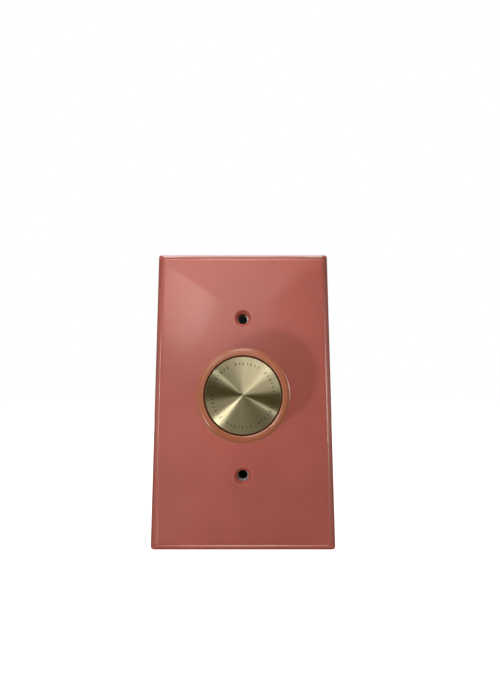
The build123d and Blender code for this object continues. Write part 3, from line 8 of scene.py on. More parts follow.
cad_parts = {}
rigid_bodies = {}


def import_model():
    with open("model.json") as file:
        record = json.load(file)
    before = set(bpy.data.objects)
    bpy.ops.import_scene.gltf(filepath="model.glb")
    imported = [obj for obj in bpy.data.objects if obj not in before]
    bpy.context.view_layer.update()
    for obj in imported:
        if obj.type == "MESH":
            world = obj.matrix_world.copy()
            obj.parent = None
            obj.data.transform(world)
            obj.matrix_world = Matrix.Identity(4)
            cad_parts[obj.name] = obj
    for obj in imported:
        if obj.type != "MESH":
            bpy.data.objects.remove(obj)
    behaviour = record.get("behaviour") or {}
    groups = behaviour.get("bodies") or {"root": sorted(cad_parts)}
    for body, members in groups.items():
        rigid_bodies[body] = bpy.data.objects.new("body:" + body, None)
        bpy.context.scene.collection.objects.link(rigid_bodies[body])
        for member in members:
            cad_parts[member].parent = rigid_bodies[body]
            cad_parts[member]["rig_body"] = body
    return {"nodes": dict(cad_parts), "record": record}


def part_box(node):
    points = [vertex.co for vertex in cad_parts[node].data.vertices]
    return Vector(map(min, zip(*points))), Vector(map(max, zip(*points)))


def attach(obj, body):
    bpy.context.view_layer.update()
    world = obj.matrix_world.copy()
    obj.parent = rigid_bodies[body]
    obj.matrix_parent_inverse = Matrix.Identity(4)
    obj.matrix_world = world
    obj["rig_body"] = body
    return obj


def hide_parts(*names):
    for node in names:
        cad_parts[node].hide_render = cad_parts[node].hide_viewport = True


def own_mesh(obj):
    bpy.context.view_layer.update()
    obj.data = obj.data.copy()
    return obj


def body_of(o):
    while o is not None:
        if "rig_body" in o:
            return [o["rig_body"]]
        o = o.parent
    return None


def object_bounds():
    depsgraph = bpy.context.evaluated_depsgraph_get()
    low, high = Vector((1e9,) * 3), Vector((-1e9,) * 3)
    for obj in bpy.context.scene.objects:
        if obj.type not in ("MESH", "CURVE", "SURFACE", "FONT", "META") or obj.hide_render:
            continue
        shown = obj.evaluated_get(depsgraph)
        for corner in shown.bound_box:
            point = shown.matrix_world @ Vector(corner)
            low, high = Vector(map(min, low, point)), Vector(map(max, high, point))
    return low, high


# Rotary push dimmer with its rose wall plate. Everything is in metres, in the CAD frame:
# +X right seen from the room, +Y into the wall, +Z up. "depth" is the distance in front of the
# wall, so a depth of d is at y = -d.

MM = 0.001
TURN = 2 * math.pi
RIGHT = Vector((1, 0, 0))
INWARD = Vector((0, 1, 0))

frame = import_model()
nodes = frame["nodes"]
cad_low, cad_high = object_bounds()
slot_of = {part["node"]: part["material_slot"] for part in frame["record"]["subparts"]}

# ---- sizes ----------------------------------------------------------------------------------------

# knob: the recess that holds the disc, with painted shade in its gap, and where a painted highlight lies on
# its outer corner
DISC_RECESS_R = 14.30 * MM
GAP_SHADE_FADE = 0.05 * MM
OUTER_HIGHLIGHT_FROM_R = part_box("knob")[1].x - 1.1 * MM
OUTER_HIGHLIGHT_FADE = 0.6 * MM

# disc in the knob: its turned grooves, rolled rim, and its edge darkened with painted shade
disc_low, disc_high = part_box("knob_disc")
DISC_R = (disc_high.x - disc_low.x) / 2
DISC_FRONT = -disc_low.y
DISC_BACK = -disc_high.y
DISC_SEGMENTS = 160
GROOVE_PITCH = 0.30 * MM
GROOVE_RISE = 0.012 * MM
GROOVE_FLANK = 0.12 * GROOVE_PITCH
RIM_ROLL = 0.22 * MM
RIM_STEPS = 5
RIM_SHADE_FROM_R = DISC_R - 0.25 * MM
RIM_SHADE_FULL_R = DISC_R - 0.10 * MM
HUB_DOT_R = 0.35 * MM

# index marks on the disc, in groups, long and short in turn
TICK_R = 11.3 * MM
TICK_GROUPS = 6
TICKS_IN_GROUP = 7
TICK_GROUP_DEG = 44.0
TICK_W = 0.26 * MM
TICK_CORNER = 0.35 * TICK_W
TICK_LONG = 1.15 * MM
TICK_SHORT = 0.75 * MM
TICK_PROUD = 0.015 * MM
TICK_SUNK = 0.08 * MM

# box screws: 6-32 thread, pan head and slot. The root and the flank are shares of half a thread.
screws_low, screws_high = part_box("box_screws")
STRAP_T = 1.5 * MM
THREAD_PITCH = 0.794 * MM
THREAD_R = 1.753 * MM
THREAD_DEPTH = 0.42 * MM
THREAD_ROOT = 0.10
THREAD_FLANK = 0.75
THREAD_SEGMENTS = 28
ROWS_PER_TURN = 8
RUN_OUT_TURNS = 1.2
TIP_TAPER = 0.35 * MM
TIP_TURNS = 0.8
NECK_R = 1.4 * MM
NECK_END = 0.9 * MM
NECK_OVERLAP = 0.01 * MM
HEAD_R = 3.5 * MM
HEAD_T = 1.6 * MM
HEAD_ROUND = 0.8 * MM
HEAD_STEPS = 8
SLOT_W = 1.0 * MM
SLOT_DEPTH = 0.9 * MM

# stranded cores of the supply leads
STRAND_R = 0.215 * MM
STRAND_LAY = 9.0 * MM
STRANDS_ROUND = 6
STRAND_POINTS = 8
STRAND_STEPS = 44
STRAND_END_SCALE = 0.6
STRANDS_START_IN = 5.0 * MM
CORE_TIP_REACH = 0.3 * MM
JACKET_END_REACH = 0.5 * MM

# plunger spring: a wound wire with closed ends
spring_low, spring_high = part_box("plunger_spring")
SPRING_LENGTH = spring_high.y - spring_low.y
SPRING_WIRE_R = 0.22 * MM
SPRING_CLOSED_PITCH = 2.1 * SPRING_WIRE_R
SPRING_END_TURNS = 0.75
SPRING_OPEN_TURNS = 3.5
SPRING_STEPS_PER_TURN = 36
SPRING_WIRE_POINTS = 10

# electronic parts: the length of each body between its bare legs, and the triac's as heights
resistors_low, resistors_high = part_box("resistors")
AXIAL_MIDDLE_X = (resistors_low.x + resistors_high.x) / 2
RESISTOR_BODY = 6.4 * MM
DIAC_BODY = 3.8 * MM
TRIAC_BODY_LOW = 11.2 * MM
TRIAC_BODY_HIGH = 20.2 * MM
CAPACITOR_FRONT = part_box("film_capacitors")[0].y
CAPACITOR_BODY = 11.0 * MM
LEG_MARGIN = 0.05 * MM
BAND_W = 0.5 * MM

# meshes: how near points are joined, and how sharp an edge of the CAD's stays hard
CAD_WELD = 0.002 * MM
PIECE_WELD = 0.0001 * MM
CAD_SHARP_DEG = 28

# ---- colours, as linear red, green and blue -------------------------------------------------------

PLATE_ROSE = (0.560, 0.145, 0.123)
KNOB_ROSE = (0.520, 0.170, 0.092)
# painted highlight on the rose plastic's edges and round the knob's outer corner
HIGHLIGHT_ROSE = (0.820, 0.420, 0.320)
DUST = (0.75, 0.55, 0.48)
# painted shade for the shaded gap round the disc, on the knob's recess and on the disc's rim
GAP_SHADE_BROWN = (0.080, 0.022, 0.006)
DISC_METAL = (0.80, 0.735, 0.500)
DISC_TARNISH = (0.62, 0.55, 0.33)
DISC_SCRATCH = (0.96, 0.93, 0.84)
TIN = (0.62, 0.61, 0.58)
# resistor bands: place along the body from its middle, and colour
BANDS = {
    -2.1 * MM: (0.12, 0.04, 0.015),
    -1.1 * MM: (0.01, 0.01, 0.01),
    -0.1 * MM: (0.55, 0.14, 0.01),
    1.9 * MM: (0.45, 0.30, 0.06),
}
FLOOR_PALE = (0.93, 0.93, 0.925)
WHITE = (1.0, 1.0, 1.0)
LAMP_WARM = (1.0, 0.95, 0.88)
LAMP_NEUTRAL = (1.0, 0.98, 0.95)
WORLD_WARM = (1.0, 0.88, 0.42)

# ---- material building ----------------------------------------------------------------------------

# spans of noise values to remap, for a softer and for a crisper change
NOISE_SOFT = (0.3, 0.7)
NOISE_CRISP = (0.35, 0.65)


class Shader:
    """A material's node tree, with short ways to add and join nodes."""

    def __init__(self, name):
        self.name = name
        self.material = bpy.data.materials.new(name)
        self.material.use_nodes = True
        self.tree = self.material.node_tree
        self.tree.nodes.clear()
        self.surface = self.add("ShaderNodeBsdfPrincipled")
        output = self.add("ShaderNodeOutputMaterial")
        self.join(self.surface.outputs["BSDF"], output.inputs["Surface"])
        self.place = self.add("ShaderNodeTexCoord").outputs["Object"]

    def add(self, kind, **settings):
        node = self.tree.nodes.new(kind)
        for key, value in settings.items():
            setattr(node, key, value)
        return node

    def join(self, source, target):
        self.tree.links.new(source, target)

    def put(self, target, value):
        """Sets an input from another node's output or from a plain value."""
        if isinstance(value, bpy.types.NodeSocket):
            self.join(value, target)
        else:
            target.default_value = value

    def set(self, **inputs):
        """Sets inputs of the surface: an underscore in the name stands for a space."""
        for key, value in inputs.items():
            self.put(self.surface.inputs[key.replace("_", " ")], value)

    def base_colour(self):
        """What the surface's colour comes from so far."""
        return self.surface.inputs["Base Color"].links[0].from_socket

    def math(self, operation, a, b=0.0):
        node = self.add("ShaderNodeMath", operation=operation)
        self.put(node.inputs[0], a)
        self.put(node.inputs[1], b)
        return node.outputs[0]

    def times(self, a, b):
        return self.math("MULTIPLY", a, b)

    def vector(self, operation, a, b=None):
        node = self.add("ShaderNodeVectorMath", operation=operation)
        self.put(node.inputs[0], a)
        if b is not None:
            self.put(node.inputs["Scale" if operation == "SCALE" else 1], b)
        return node.outputs["Value" if operation in ("LENGTH", "DOT_PRODUCT") else "Vector"]

    def stretched(self, scale):
        """The object's coordinates multiplied by scale on each axis."""
        return self.vector("MULTIPLY", self.place, scale)

    def in_world(self, direction):
        """A direction along the object's axes, turned to the world's."""
        node = self.add("ShaderNodeVectorTransform", vector_type="VECTOR")
        node.convert_from = "OBJECT"
        node.convert_to = "WORLD"
        self.join(direction, node.inputs["Vector"])
        return node.outputs["Vector"]

    def noise(self, per_mm, detail=3.0, roughness=0.5, where=None):
        """Cloudy noise of about this many features in a millimetre."""
        node = self.add("ShaderNodeTexNoise")
        node.inputs["Scale"].default_value = per_mm / MM
        node.inputs["Detail"].default_value = detail
        node.inputs["Roughness"].default_value = roughness
        self.join(where if where else self.place, node.inputs["Vector"])
        return node.outputs["Fac"]

    def remap(self, value, low, high, to_low=0.0, to_high=1.0):
        """value from low..high to to_low..to_high, smoothly and clamped."""
        node = self.add("ShaderNodeMapRange", interpolation_type="SMOOTHSTEP")
        self.put(node.inputs["Value"], value)
        node.inputs["From Min"].default_value = low
        node.inputs["From Max"].default_value = high
        node.inputs["To Min"].default_value = to_low
        node.inputs["To Max"].default_value = to_high
        return node.outputs["Result"]

    def blend(self, share, first, second):
        """A colour between first and second."""
        node = self.add("ShaderNodeMix", data_type="RGBA")
        self.put(node.inputs["Factor"], share)
        for socket, colour in (("A", first), ("B", second)):
            target = [s for s in node.inputs if s.name == socket and s.type == "RGBA"][0]
            self.put(target, colour if isinstance(colour, bpy.types.NodeSocket) else (*colour, 1.0))
        return [s for s in node.outputs if s.type == "RGBA"][0]

    def edges(self, width_mm, flat=0.985, sharp=0.80):
        """0 on flat faces and 1 on edges: flat and sharp are likenesses of the rounded normal."""
        rounded = self.add("ShaderNodeBevel", samples=4)
        rounded.inputs["Radius"].default_value = width_mm * MM
        true_normal = self.add("ShaderNodeNewGeometry").outputs["Normal"]
        likeness = self.vector("DOT_PRODUCT", rounded.outputs["Normal"], true_normal)
        return self.remap(likeness, flat, sharp)

    def bump(self, height, depth_mm, strength=1.0, normal=None):
        """A bump normal from a height of 0..1 that stands for this many millimetres."""
        node = self.add("ShaderNodeBump")
        node.inputs["Strength"].default_value = strength
        node.inputs["Distance"].default_value = depth_mm * MM
        self.join(height, node.inputs["Height"])
        if normal:
            self.join(normal, node.inputs["Normal"])
        return node.outputs["Normal"]


def shade(colour, factor):
    """A colour made lighter or darker."""
    return tuple(min(1.0, channel * factor) for channel in colour)


def moulded(name, colour, roughness=0.35, coat=0.0, variation=0.10, texture_mm=0.006, wear=0.35):
    """Moulded plastic: cloudy colour, faint moulding texture, worn paler edges."""
    s = Shader(name)
    clouds = s.noise(0.05, detail=4.0)
    grain = s.noise(1.6, roughness=0.6)
    darker, lighter = shade(colour, 1 - variation), shade(colour, 1 + variation)
    tint = s.blend(s.remap(clouds, *NOISE_CRISP), darker, lighter)
    tint = s.blend(s.remap(grain, *NOISE_SOFT, 0.0, 0.12), tint, shade(colour, 0.75))
    patches = s.remap(s.noise(0.35, detail=4.0), *NOISE_CRISP, 0.3, 1.0)
    worn = s.times(s.edges(0.35), patches)
    tint = s.blend(s.times(worn, wear), tint, shade(colour, 1.6))
    polish = s.noise(0.3, detail=4.0)
    s.set(
        Base_Color=tint,
        Roughness=s.remap(polish, *NOISE_SOFT, roughness * 0.85, roughness * 1.2),
        Normal=s.bump(grain, texture_mm),
        Coat_Weight=coat,
        Coat_Roughness=roughness * 0.35,
    )
    return s


def metal(name, colour, roughness=0.3, grain=(1, 1, 1), variation=0.12, wear=0.4, tarnish=0.25):
    """Metal with drawn or brushed grain, dull patches and brighter rubbed edges."""
    s = Shader(name)
    lines = s.noise(3.0, detail=5.0, roughness=0.65, where=s.stretched(grain))
    patches = s.noise(0.12, detail=5.0, roughness=0.6)
    darker, lighter = shade(colour, 1 - variation), shade(colour, 1 + variation)
    tint = s.blend(s.remap(lines, *NOISE_SOFT), darker, lighter)
    dull = s.remap(patches, 0.45, 0.75, 0.0, tarnish)
    tint = s.blend(dull, tint, shade(colour, 0.5))
    tint = s.blend(s.times(s.edges(0.25), wear), tint, shade(colour, 1.5))
    rough = s.remap(lines, *NOISE_SOFT, roughness * 0.75, roughness * 1.3)
    s.set(
        Base_Color=tint,
        Metallic=1.0,
        Roughness=s.math("ADD", rough, s.times(dull, 0.4)),
        Normal=s.bump(lines, 0.008, strength=0.6),
    )
    return s


def fibrous(name, colour, second, roughness=0.7, grain=(1, 1, 1), texture_mm=0.02, per_mm=2.5):
    """Pressed board, fibre, mica or ferrite: two-tone speckle over a matt surface."""
    s = Shader(name)
    fibres = s.noise(per_mm, detail=6.0, roughness=0.7, where=s.stretched(grain))
    clouds = s.noise(0.15, detail=4.0)
    tint = s.blend(s.remap(fibres, 0.38, 0.66), second, colour)
    tint = s.blend(s.remap(clouds, 0.4, 0.7, 0.0, 0.35), tint, shade(colour, 0.7))
    tint = s.blend(s.times(s.edges(0.2), 0.35), tint, shade(colour, 1.4))
    s.set(
        Base_Color=tint,
        Roughness=s.remap(fibres, *NOISE_SOFT, roughness * 0.9, min(1.0, roughness * 1.15)),
        Normal=s.bump(fibres, texture_mm),
    )
    return s


def gloss_moulding(name, colour, ripple_mm, roughness, edge_share, in_knob=False):
    """Polished moulded plastic: faint flow clouds, dust specks, hairline scuffs and soft ripple.
    Paler on its edges, in patches: painted highlight. The knob's also has painted shade, dark brown,
    in the disc's recess, and a painted highlight, pale, round its outer corner."""
    s = Shader(name)
    clouds = s.noise(0.035)
    tint = s.blend(s.remap(clouds, *NOISE_CRISP), shade(colour, 0.955), shade(colour, 1.045))
    fine = s.noise(2.2, detail=2.0)
    tint = s.blend(s.remap(fine, *NOISE_CRISP, 0.0, 0.05), tint, shade(colour, 0.7))
    specks = s.remap(s.noise(1.1, detail=2.0), 0.74, 0.80)
    tint = s.blend(s.times(specks, 0.35), tint, DUST)
    hairlines = s.noise(0.9, detail=5.0, roughness=0.7, where=s.stretched((1.0, 1.0, 0.12)))
    scuffs = s.remap(hairlines, 0.60, 0.74)
    patches = s.remap(s.noise(0.4, detail=4.0), *NOISE_CRISP, 0.5, 1.0)
    # paler edges: a painted highlight along the ridges, in patches
    worn = s.times(s.edges(0.45, flat=0.998, sharp=0.955), patches)
    tint = s.blend(s.times(worn, edge_share), tint, HIGHLIGHT_ROSE)
    gloss = 1.0
    if in_knob:
        from_axis = s.vector("LENGTH", s.stretched((1, 0, 1)))
        # painted shade: dark brown with less gloss in the recess, for the shaded gap round the disc
        gap_shade = s.remap(from_axis, DISC_RECESS_R + GAP_SHADE_FADE, DISC_RECESS_R)
        tint = s.blend(s.times(gap_shade, 0.96), tint, GAP_SHADE_BROWN)
        gloss = s.math("SUBTRACT", 1.0, gap_shade)
        # painted highlight: pale round the knob's outer corner
        outer_highlight = s.remap(from_axis, OUTER_HIGHLIGHT_FROM_R, OUTER_HIGHLIGHT_FROM_R + OUTER_HIGHLIGHT_FADE)
        tint = s.blend(s.times(outer_highlight, 0.5), tint, HIGHLIGHT_ROSE)
    cloudy = s.remap(clouds, *NOISE_SOFT, roughness, roughness * 1.25)
    ripple = s.bump(s.noise(0.16, detail=2.0), ripple_mm)
    s.set(
        Base_Color=tint,
        Roughness=s.math("ADD", cloudy, s.times(scuffs, 0.10)),
        Specular_IOR_Level=s.times(gloss, 0.5),
        Coat_Weight=s.times(gloss, 0.25),
        Coat_Roughness=0.12,
        Normal=s.bump(fine, 0.0015, strength=0.5, normal=ripple),
        Subsurface_Weight=0.06,
        Subsurface_Radius=(1.2 * MM, 0.4 * MM, 0.3 * MM),
        Subsurface_Scale=1.0,
    )
    return s


def spun_metal(name):
    """Warm nickel face turned on a lathe: its tool lines spread light into fans from the centre."""
    s = Shader(name)
    flat = s.stretched((1, 0, 1))
    radial = s.vector("NORMALIZE", flat)
    radius = s.vector("LENGTH", flat)
    # fine rings of slightly different height and polish
    ring_place = s.add("ShaderNodeCombineXYZ")
    s.join(radius, ring_place.inputs["X"])
    rings = s.noise(9.0, detail=4.0, roughness=0.75, where=ring_place.outputs["Vector"])
    clouds = s.noise(0.12, detail=4.0)
    tint = s.blend(s.remap(rings, *NOISE_SOFT), shade(DISC_METAL, 0.90), shade(DISC_METAL, 1.06))
    tint = s.blend(s.remap(clouds, 0.45, 0.75, 0.0, 0.25), tint, DISC_TARNISH)
    scratches = s.remap(s.noise(0.9, detail=5.0, roughness=0.7), 0.64, 0.70)
    tint = s.blend(s.times(scratches, 0.55), tint, DISC_SCRATCH)
    # painted shade: dark brown round the rim, for the shaded gap between the disc and the knob
    rim = s.remap(radius, RIM_SHADE_FROM_R, RIM_SHADE_FULL_R)
    tint = s.blend(s.times(rim, 0.9), tint, GAP_SHADE_BROWN)
    # the cut lines lean outwards, so one side of each fan is stronger
    lean = s.vector("SCALE", radial, s.remap(rings, *NOISE_SOFT, 0.12, 0.18))
    leaning = s.vector("NORMALIZE", s.vector("ADD", lean, (0.0, -1.0, 0.0)))
    polish = s.remap(rings, *NOISE_SOFT, 0.29, 0.34)
    s.set(
        Base_Color=tint,
        Metallic=s.math("SUBTRACT", 1.0, rim),
        Roughness=s.math("ADD", polish, s.times(scratches, 0.15)),
        Anisotropic=1.0,
        Tangent=s.in_world(radial),
        Normal=s.in_world(leaning),
    )
    return s


def offset(s, axis, centre):
    """Distance from centre along one of the object's axes."""
    parts = s.add("ShaderNodeSeparateXYZ")
    s.join(s.place, parts.inputs[0])
    return s.math("ABSOLUTE", s.math("SUBTRACT", parts.outputs[axis], centre))


def legged(s, axis, low, high):
    """Bare tinned metal outside low..high along one axis, and the body's own material between."""
    half_body = (high - low) / 2 + LEG_MARGIN
    legs = s.math("GREATER_THAN", offset(s, axis, (low + high) / 2), half_body)
    s.set(Base_Color=s.blend(legs, s.base_colour(), TIN), Metallic=legs)
    return s


def banded(s, middle):
    """Colour bands painted round a resistor that lies along X."""
    for place, colour in BANDS.items():
        band = s.math("LESS_THAN", offset(s, "X", middle + place), BAND_W / 2)
        s.set(Base_Color=s.blend(band, s.base_colour(), colour))
    return s


def along_axial(s, body):
    """The legs of a part that lies along X, with its body in the middle of the resistors' box."""
    return legged(s, "X", AXIAL_MIDDLE_X - body / 2, AXIAL_MIDDLE_X + body / 2)


# ---- finishes, by the record's material slots -----------------------------------------------------

# how grain is stretched: the smaller the number, the longer it is along that axis
DRAWN_X = (0.1, 1, 1)
DRAWN_Y = (1, 0.1, 1)
DRAWN_Z = (1, 1, 0.1)
ROLLED_Z = (1.0, 1.0, 0.04)
PRESSED_X = (0.2, 1, 1)
SPLIT_FLAT = (0.3, 1, 0.3)

black_epoxy = moulded("black_epoxy", (0.020, 0.020, 0.022), 0.55, variation=0.2, texture_mm=0.02)
blue_glass = moulded("blue_glass", (0.03, 0.06, 0.22), 0.15, coat=0.6, texture_mm=0.004)
tan_coating = moulded("tan_coating", (0.50, 0.30, 0.13), 0.30, coat=0.4, texture_mm=0.015)
yellow_film = moulded("yellow_film", (0.66, 0.36, 0.03), 0.25, coat=0.4, variation=0.08, texture_mm=0.02)
SHADERS = (
    metal("strap_aluminium", (0.62, 0.63, 0.64), 0.38, ROLLED_Z, variation=0.10, wear=0.3, tarnish=0.35),
    metal("zinc_steel", (0.60, 0.61, 0.60), 0.28, variation=0.15, tarnish=0.40),
    metal("spring_steel", (0.36, 0.37, 0.39), 0.30, ROLLED_Z),
    metal("brass", (0.72, 0.50, 0.20), 0.27, DRAWN_Y, tarnish=0.45),
    metal("silver_alloy", (0.80, 0.79, 0.76), 0.20),
    metal("enamelled_copper", (0.60, 0.22, 0.08), 0.22, DRAWN_X),
    metal("bare_copper", (0.80, 0.38, 0.20), 0.30, DRAWN_Z, variation=0.15, wear=0.3, tarnish=0.35),
    fibrous("red_fibre", (0.30, 0.045, 0.025), (0.16, 0.02, 0.012), 0.75),
    fibrous("brown_laminate", (0.30, 0.15, 0.06), (0.17, 0.08, 0.03), 0.6, PRESSED_X),
    fibrous("carbon_film", (0.02, 0.02, 0.02), (0.05, 0.05, 0.055), 0.55, texture_mm=0.004),
    fibrous("mica", (0.55, 0.50, 0.38), (0.38, 0.33, 0.23), 0.25, SPLIT_FLAT, texture_mm=0.004, per_mm=0.8),
    fibrous("ferrite", (0.035, 0.035, 0.038), (0.07, 0.07, 0.075), 0.65, texture_mm=0.03),
    moulded("black_phenolic", (0.018, 0.017, 0.017), 0.42, 0.1, variation=0.25, texture_mm=0.012, wear=0.5),
    moulded("white_nylon", (0.72, 0.70, 0.63), 0.45, variation=0.05),
    moulded("black_insulation", (0.016, 0.016, 0.017), 0.38, variation=0.3, texture_mm=0.015, wear=0.2),
    moulded("green_insulation", (0.012, 0.105, 0.028), 0.36, variation=0.15, texture_mm=0.015, wear=0.2),
    legged(black_epoxy, "Z", TRIAC_BODY_LOW, TRIAC_BODY_HIGH),
    along_axial(blue_glass, DIAC_BODY),
    along_axial(banded(tan_coating, AXIAL_MIDDLE_X), RESISTOR_BODY),
    legged(yellow_film, "Y", CAPACITOR_FRONT, CAPACITOR_FRONT + CAPACITOR_BODY),
)
FINISHES = {shader.name: shader.material for shader in SHADERS}
FINISHES["rose_plastic"] = gloss_moulding("rose_plastic_plate", PLATE_ROSE, 0.020, 0.30, 0.85).material
FINISHES["spun_metal"] = spun_metal("spun_metal_face").material
KNOB_FINISH = gloss_moulding("rose_plastic_knob", KNOB_ROSE, 0.006, 0.22, 0.75, in_knob=True).material
MARK_FINISH = moulded(
    "mark_enamel", (0.035, 0.028, 0.016), 0.45, variation=0.2, texture_mm=0.004, wear=0.1).material

# ---- the carried-over CAD nodes -------------------------------------------------------------------


def smoothing_group():
    """A modifier that welds the mesh and shades it smooth except across sharp edges."""
    group = bpy.data.node_groups.new("smooth_by_angle", "GeometryNodeTree")
    group.interface.new_socket("Geometry", in_out="INPUT", socket_type="NodeSocketGeometry")
    group.interface.new_socket("Geometry", in_out="OUTPUT", socket_type="NodeSocketGeometry")
    add = group.nodes.new
    start = add("NodeGroupInput")
    end = add("NodeGroupOutput")
    weld = add("GeometryNodeMergeByDistance")
    weld.inputs["Distance"].default_value = CAD_WELD
    faces = add("GeometryNodeSetShadeSmooth")
    hard = add("GeometryNodeSetShadeSmooth")
    hard.domain = "EDGE"
    hard.inputs["Shade Smooth"].default_value = False
    angle = add("GeometryNodeInputMeshEdgeAngle")
    sharp = add("ShaderNodeMath")
    sharp.operation = "GREATER_THAN"
    sharp.inputs[1].default_value = math.radians(CAD_SHARP_DEG)
    join = group.links.new
    join(start.outputs[0], weld.inputs["Geometry"])
    join(weld.outputs["Geometry"], faces.inputs["Geometry"])
    join(faces.outputs["Geometry"], hard.inputs["Geometry"])
    join(angle.outputs["Unsigned Angle"], sharp.inputs[0])
    join(sharp.outputs[0], hard.inputs["Selection"])
    join(hard.outputs["Geometry"], end.inputs[0])
    return group


smooth_by_angle = smoothing_group()
for name, node in nodes.items():
    finish = KNOB_FINISH if name == "knob" else FINISHES[slot_of[name]]
    for material_slot in node.material_slots:
        material_slot.material = finish
    modifier = node.modifiers.new("smooth", "NODES")
    modifier.node_group = smooth_by_angle

# ---- mesh helpers ---------------------------------------------------------------------------------


def finish_piece(builder, name, material, body, smooth_deg=30):
    """Turns a bmesh into a piece with a material that rides on a body."""
    bmesh.ops.remove_doubles(builder, verts=builder.verts, dist=PIECE_WELD)
    bmesh.ops.recalc_face_normals(builder, faces=builder.faces)
    mesh = bpy.data.meshes.new(name)
    builder.to_mesh(mesh)
    builder.free()
    mesh.polygons.foreach_set("use_smooth", [True] * len(mesh.polygons))
    mesh.set_sharp_from_angle(angle=math.radians(smooth_deg))
    piece = bpy.data.objects.new(name, mesh)
    bpy.context.scene.collection.objects.link(piece)
    mesh.materials.append(material)
    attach(piece, body)
    return piece


def ring_points(centre, axis, side, radius, count):
    """Points round an axis through centre, the first of them towards side. radius is a length,
    or a function that gives it at each share of the turn."""
    other = axis.cross(side)
    points = []
    for step in range(count):
        share = step / count
        angle = share * TURN
        out = radius(share) if callable(radius) else radius
        points.append(centre + (side * math.cos(angle) + other * math.sin(angle)) * out)
    return points


def add_tube(builder, rings):
    """Faces between rings of points, each of the same count, with flat ends."""
    rows = [[builder.verts.new(point) for point in ring] for ring in rings]
    count = len(rows[0])
    for low, high in zip(rows, rows[1:]):
        for i in range(count):
            builder.faces.new((low[i], low[(i + 1) % count], high[(i + 1) % count], high[i]))
    for row in (rows[0], rows[-1]):
        builder.faces.new(row)


# ---- the disc in the knob -------------------------------------------------------------------------


def disc_profile():
    """Half section of the disc as (radius, depth), from the centre of its face to its back."""
    groove_floor = DISC_FRONT - 2 * GROOVE_RISE
    points = [(HUB_DOT_R, groove_floor)]
    radius = HUB_DOT_R
    while radius < DISC_R - 2 * RIM_ROLL - GROOVE_PITCH:
        radius += GROOVE_PITCH
        points.append((radius, groove_floor))
        points.append((radius + GROOVE_FLANK, groove_floor + GROOVE_RISE))
    for step in range(RIM_STEPS + 1):
        angle = step / RIM_STEPS * TURN / 4
        rolled_r = DISC_R - RIM_ROLL + RIM_ROLL * math.sin(angle)
        rolled_depth = DISC_FRONT - RIM_ROLL + RIM_ROLL * math.cos(angle)
        points.append((rolled_r, rolled_depth))
    points.append((DISC_R, DISC_BACK))
    points.append((HUB_DOT_R, DISC_BACK))
    return points


def make_disc():
    builder = bmesh.new()
    rings = [
        ring_points(Vector((0, -depth, 0)), -INWARD, RIGHT, radius, DISC_SEGMENTS)
        for radius, depth in disc_profile()]
    add_tube(builder, rings)
    piece = finish_piece(builder, "spun_disc", FINISHES["spun_metal"], "spindle")
    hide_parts("knob_disc")


def tick_outline(length):
    """A mark's outline as (x, z) round its own middle: a thin bar with cut corners."""
    outline = []
    for x_sign, z_sign in ((1, 1), (-1, 1), (-1, -1), (1, -1)):
        x = x_sign * (length / 2 - TICK_CORNER)
        z = z_sign * (TICK_W / 2 - TICK_CORNER)
        cut = [(x + x_sign * TICK_CORNER, z), (x, z + z_sign * TICK_CORNER)]
        outline += cut if x_sign == z_sign else reversed(cut)
    return outline


def make_disc_marks():
    """Index marks filled with dark enamel."""
    builder = bmesh.new()
    for group in range(TICK_GROUPS):
        for tick in range(TICKS_IN_GROUP):
            degrees = group * 360 / TICK_GROUPS + tick * TICK_GROUP_DEG / (TICKS_IN_GROUP - 1)
            turn = Matrix.Rotation(-math.radians(degrees), 4, "Y")
            outline = tick_outline(TICK_LONG if tick % 2 == 0 else TICK_SHORT)
            add_tube(builder, [
                [turn @ Vector((TICK_R + x, -DISC_FRONT + sunk, z)) for x, z in outline]
                for sunk in (-TICK_PROUD, TICK_SUNK)])
    finish_piece(builder, "disc_marks", MARK_FINISH, "spindle")


make_disc()
make_disc_marks()

# ---- box screws with cut threads ------------------------------------------------------------------


def thread_radius(turns, share, fade):
    """Radius of the thread after this many turns along, at this share of a turn round."""
    phase = (turns - share) % 1.0
    wave = abs(2 * phase - 1)
    height = min(1.0, max(0.0, (wave - THREAD_ROOT) / THREAD_FLANK))
    return THREAD_R - THREAD_DEPTH * (1 - height * fade)


def add_screw(builder, z):
    """One screw along Y: its thread, its plain neck through the strap, and its head."""
    length = screws_high.y - NECK_END
    rows = int(length / THREAD_PITCH * ROWS_PER_TURN)
    rings = []
    for row in range(rows + 1):
        y = NECK_END + length * row / rows
        turns = (y - NECK_END) / THREAD_PITCH
        left = (screws_high.y - y) / THREAD_PITCH
        fade = max(0.0, min(1.0, turns / RUN_OUT_TURNS, left / RUN_OUT_TURNS))
        taper = TIP_TAPER * max(0.0, 1 - left / TIP_TURNS)

        def radius(share):
            return thread_radius(turns, share, fade) - taper

        rings.append(ring_points(Vector((0, y, z)), INWARD, RIGHT, radius, THREAD_SEGMENTS))
    add_tube(builder, rings)
    add_tube(builder, [
        ring_points(Vector((0, y, z)), INWARD, RIGHT, NECK_R, THREAD_SEGMENTS)
        for y in (-STRAP_T - NECK_OVERLAP, NECK_END + NECK_OVERLAP)])
    add_slotted_head(builder, z)


def half_head_ring(outline, radius, depth, z, half):
    """One level of half a head, at this depth in front of the strap, with a straight slot side."""
    return [
        Vector((x * radius, -STRAP_T - depth, z + half * max(y * radius, SLOT_W / 2)))
        for x, y in outline]


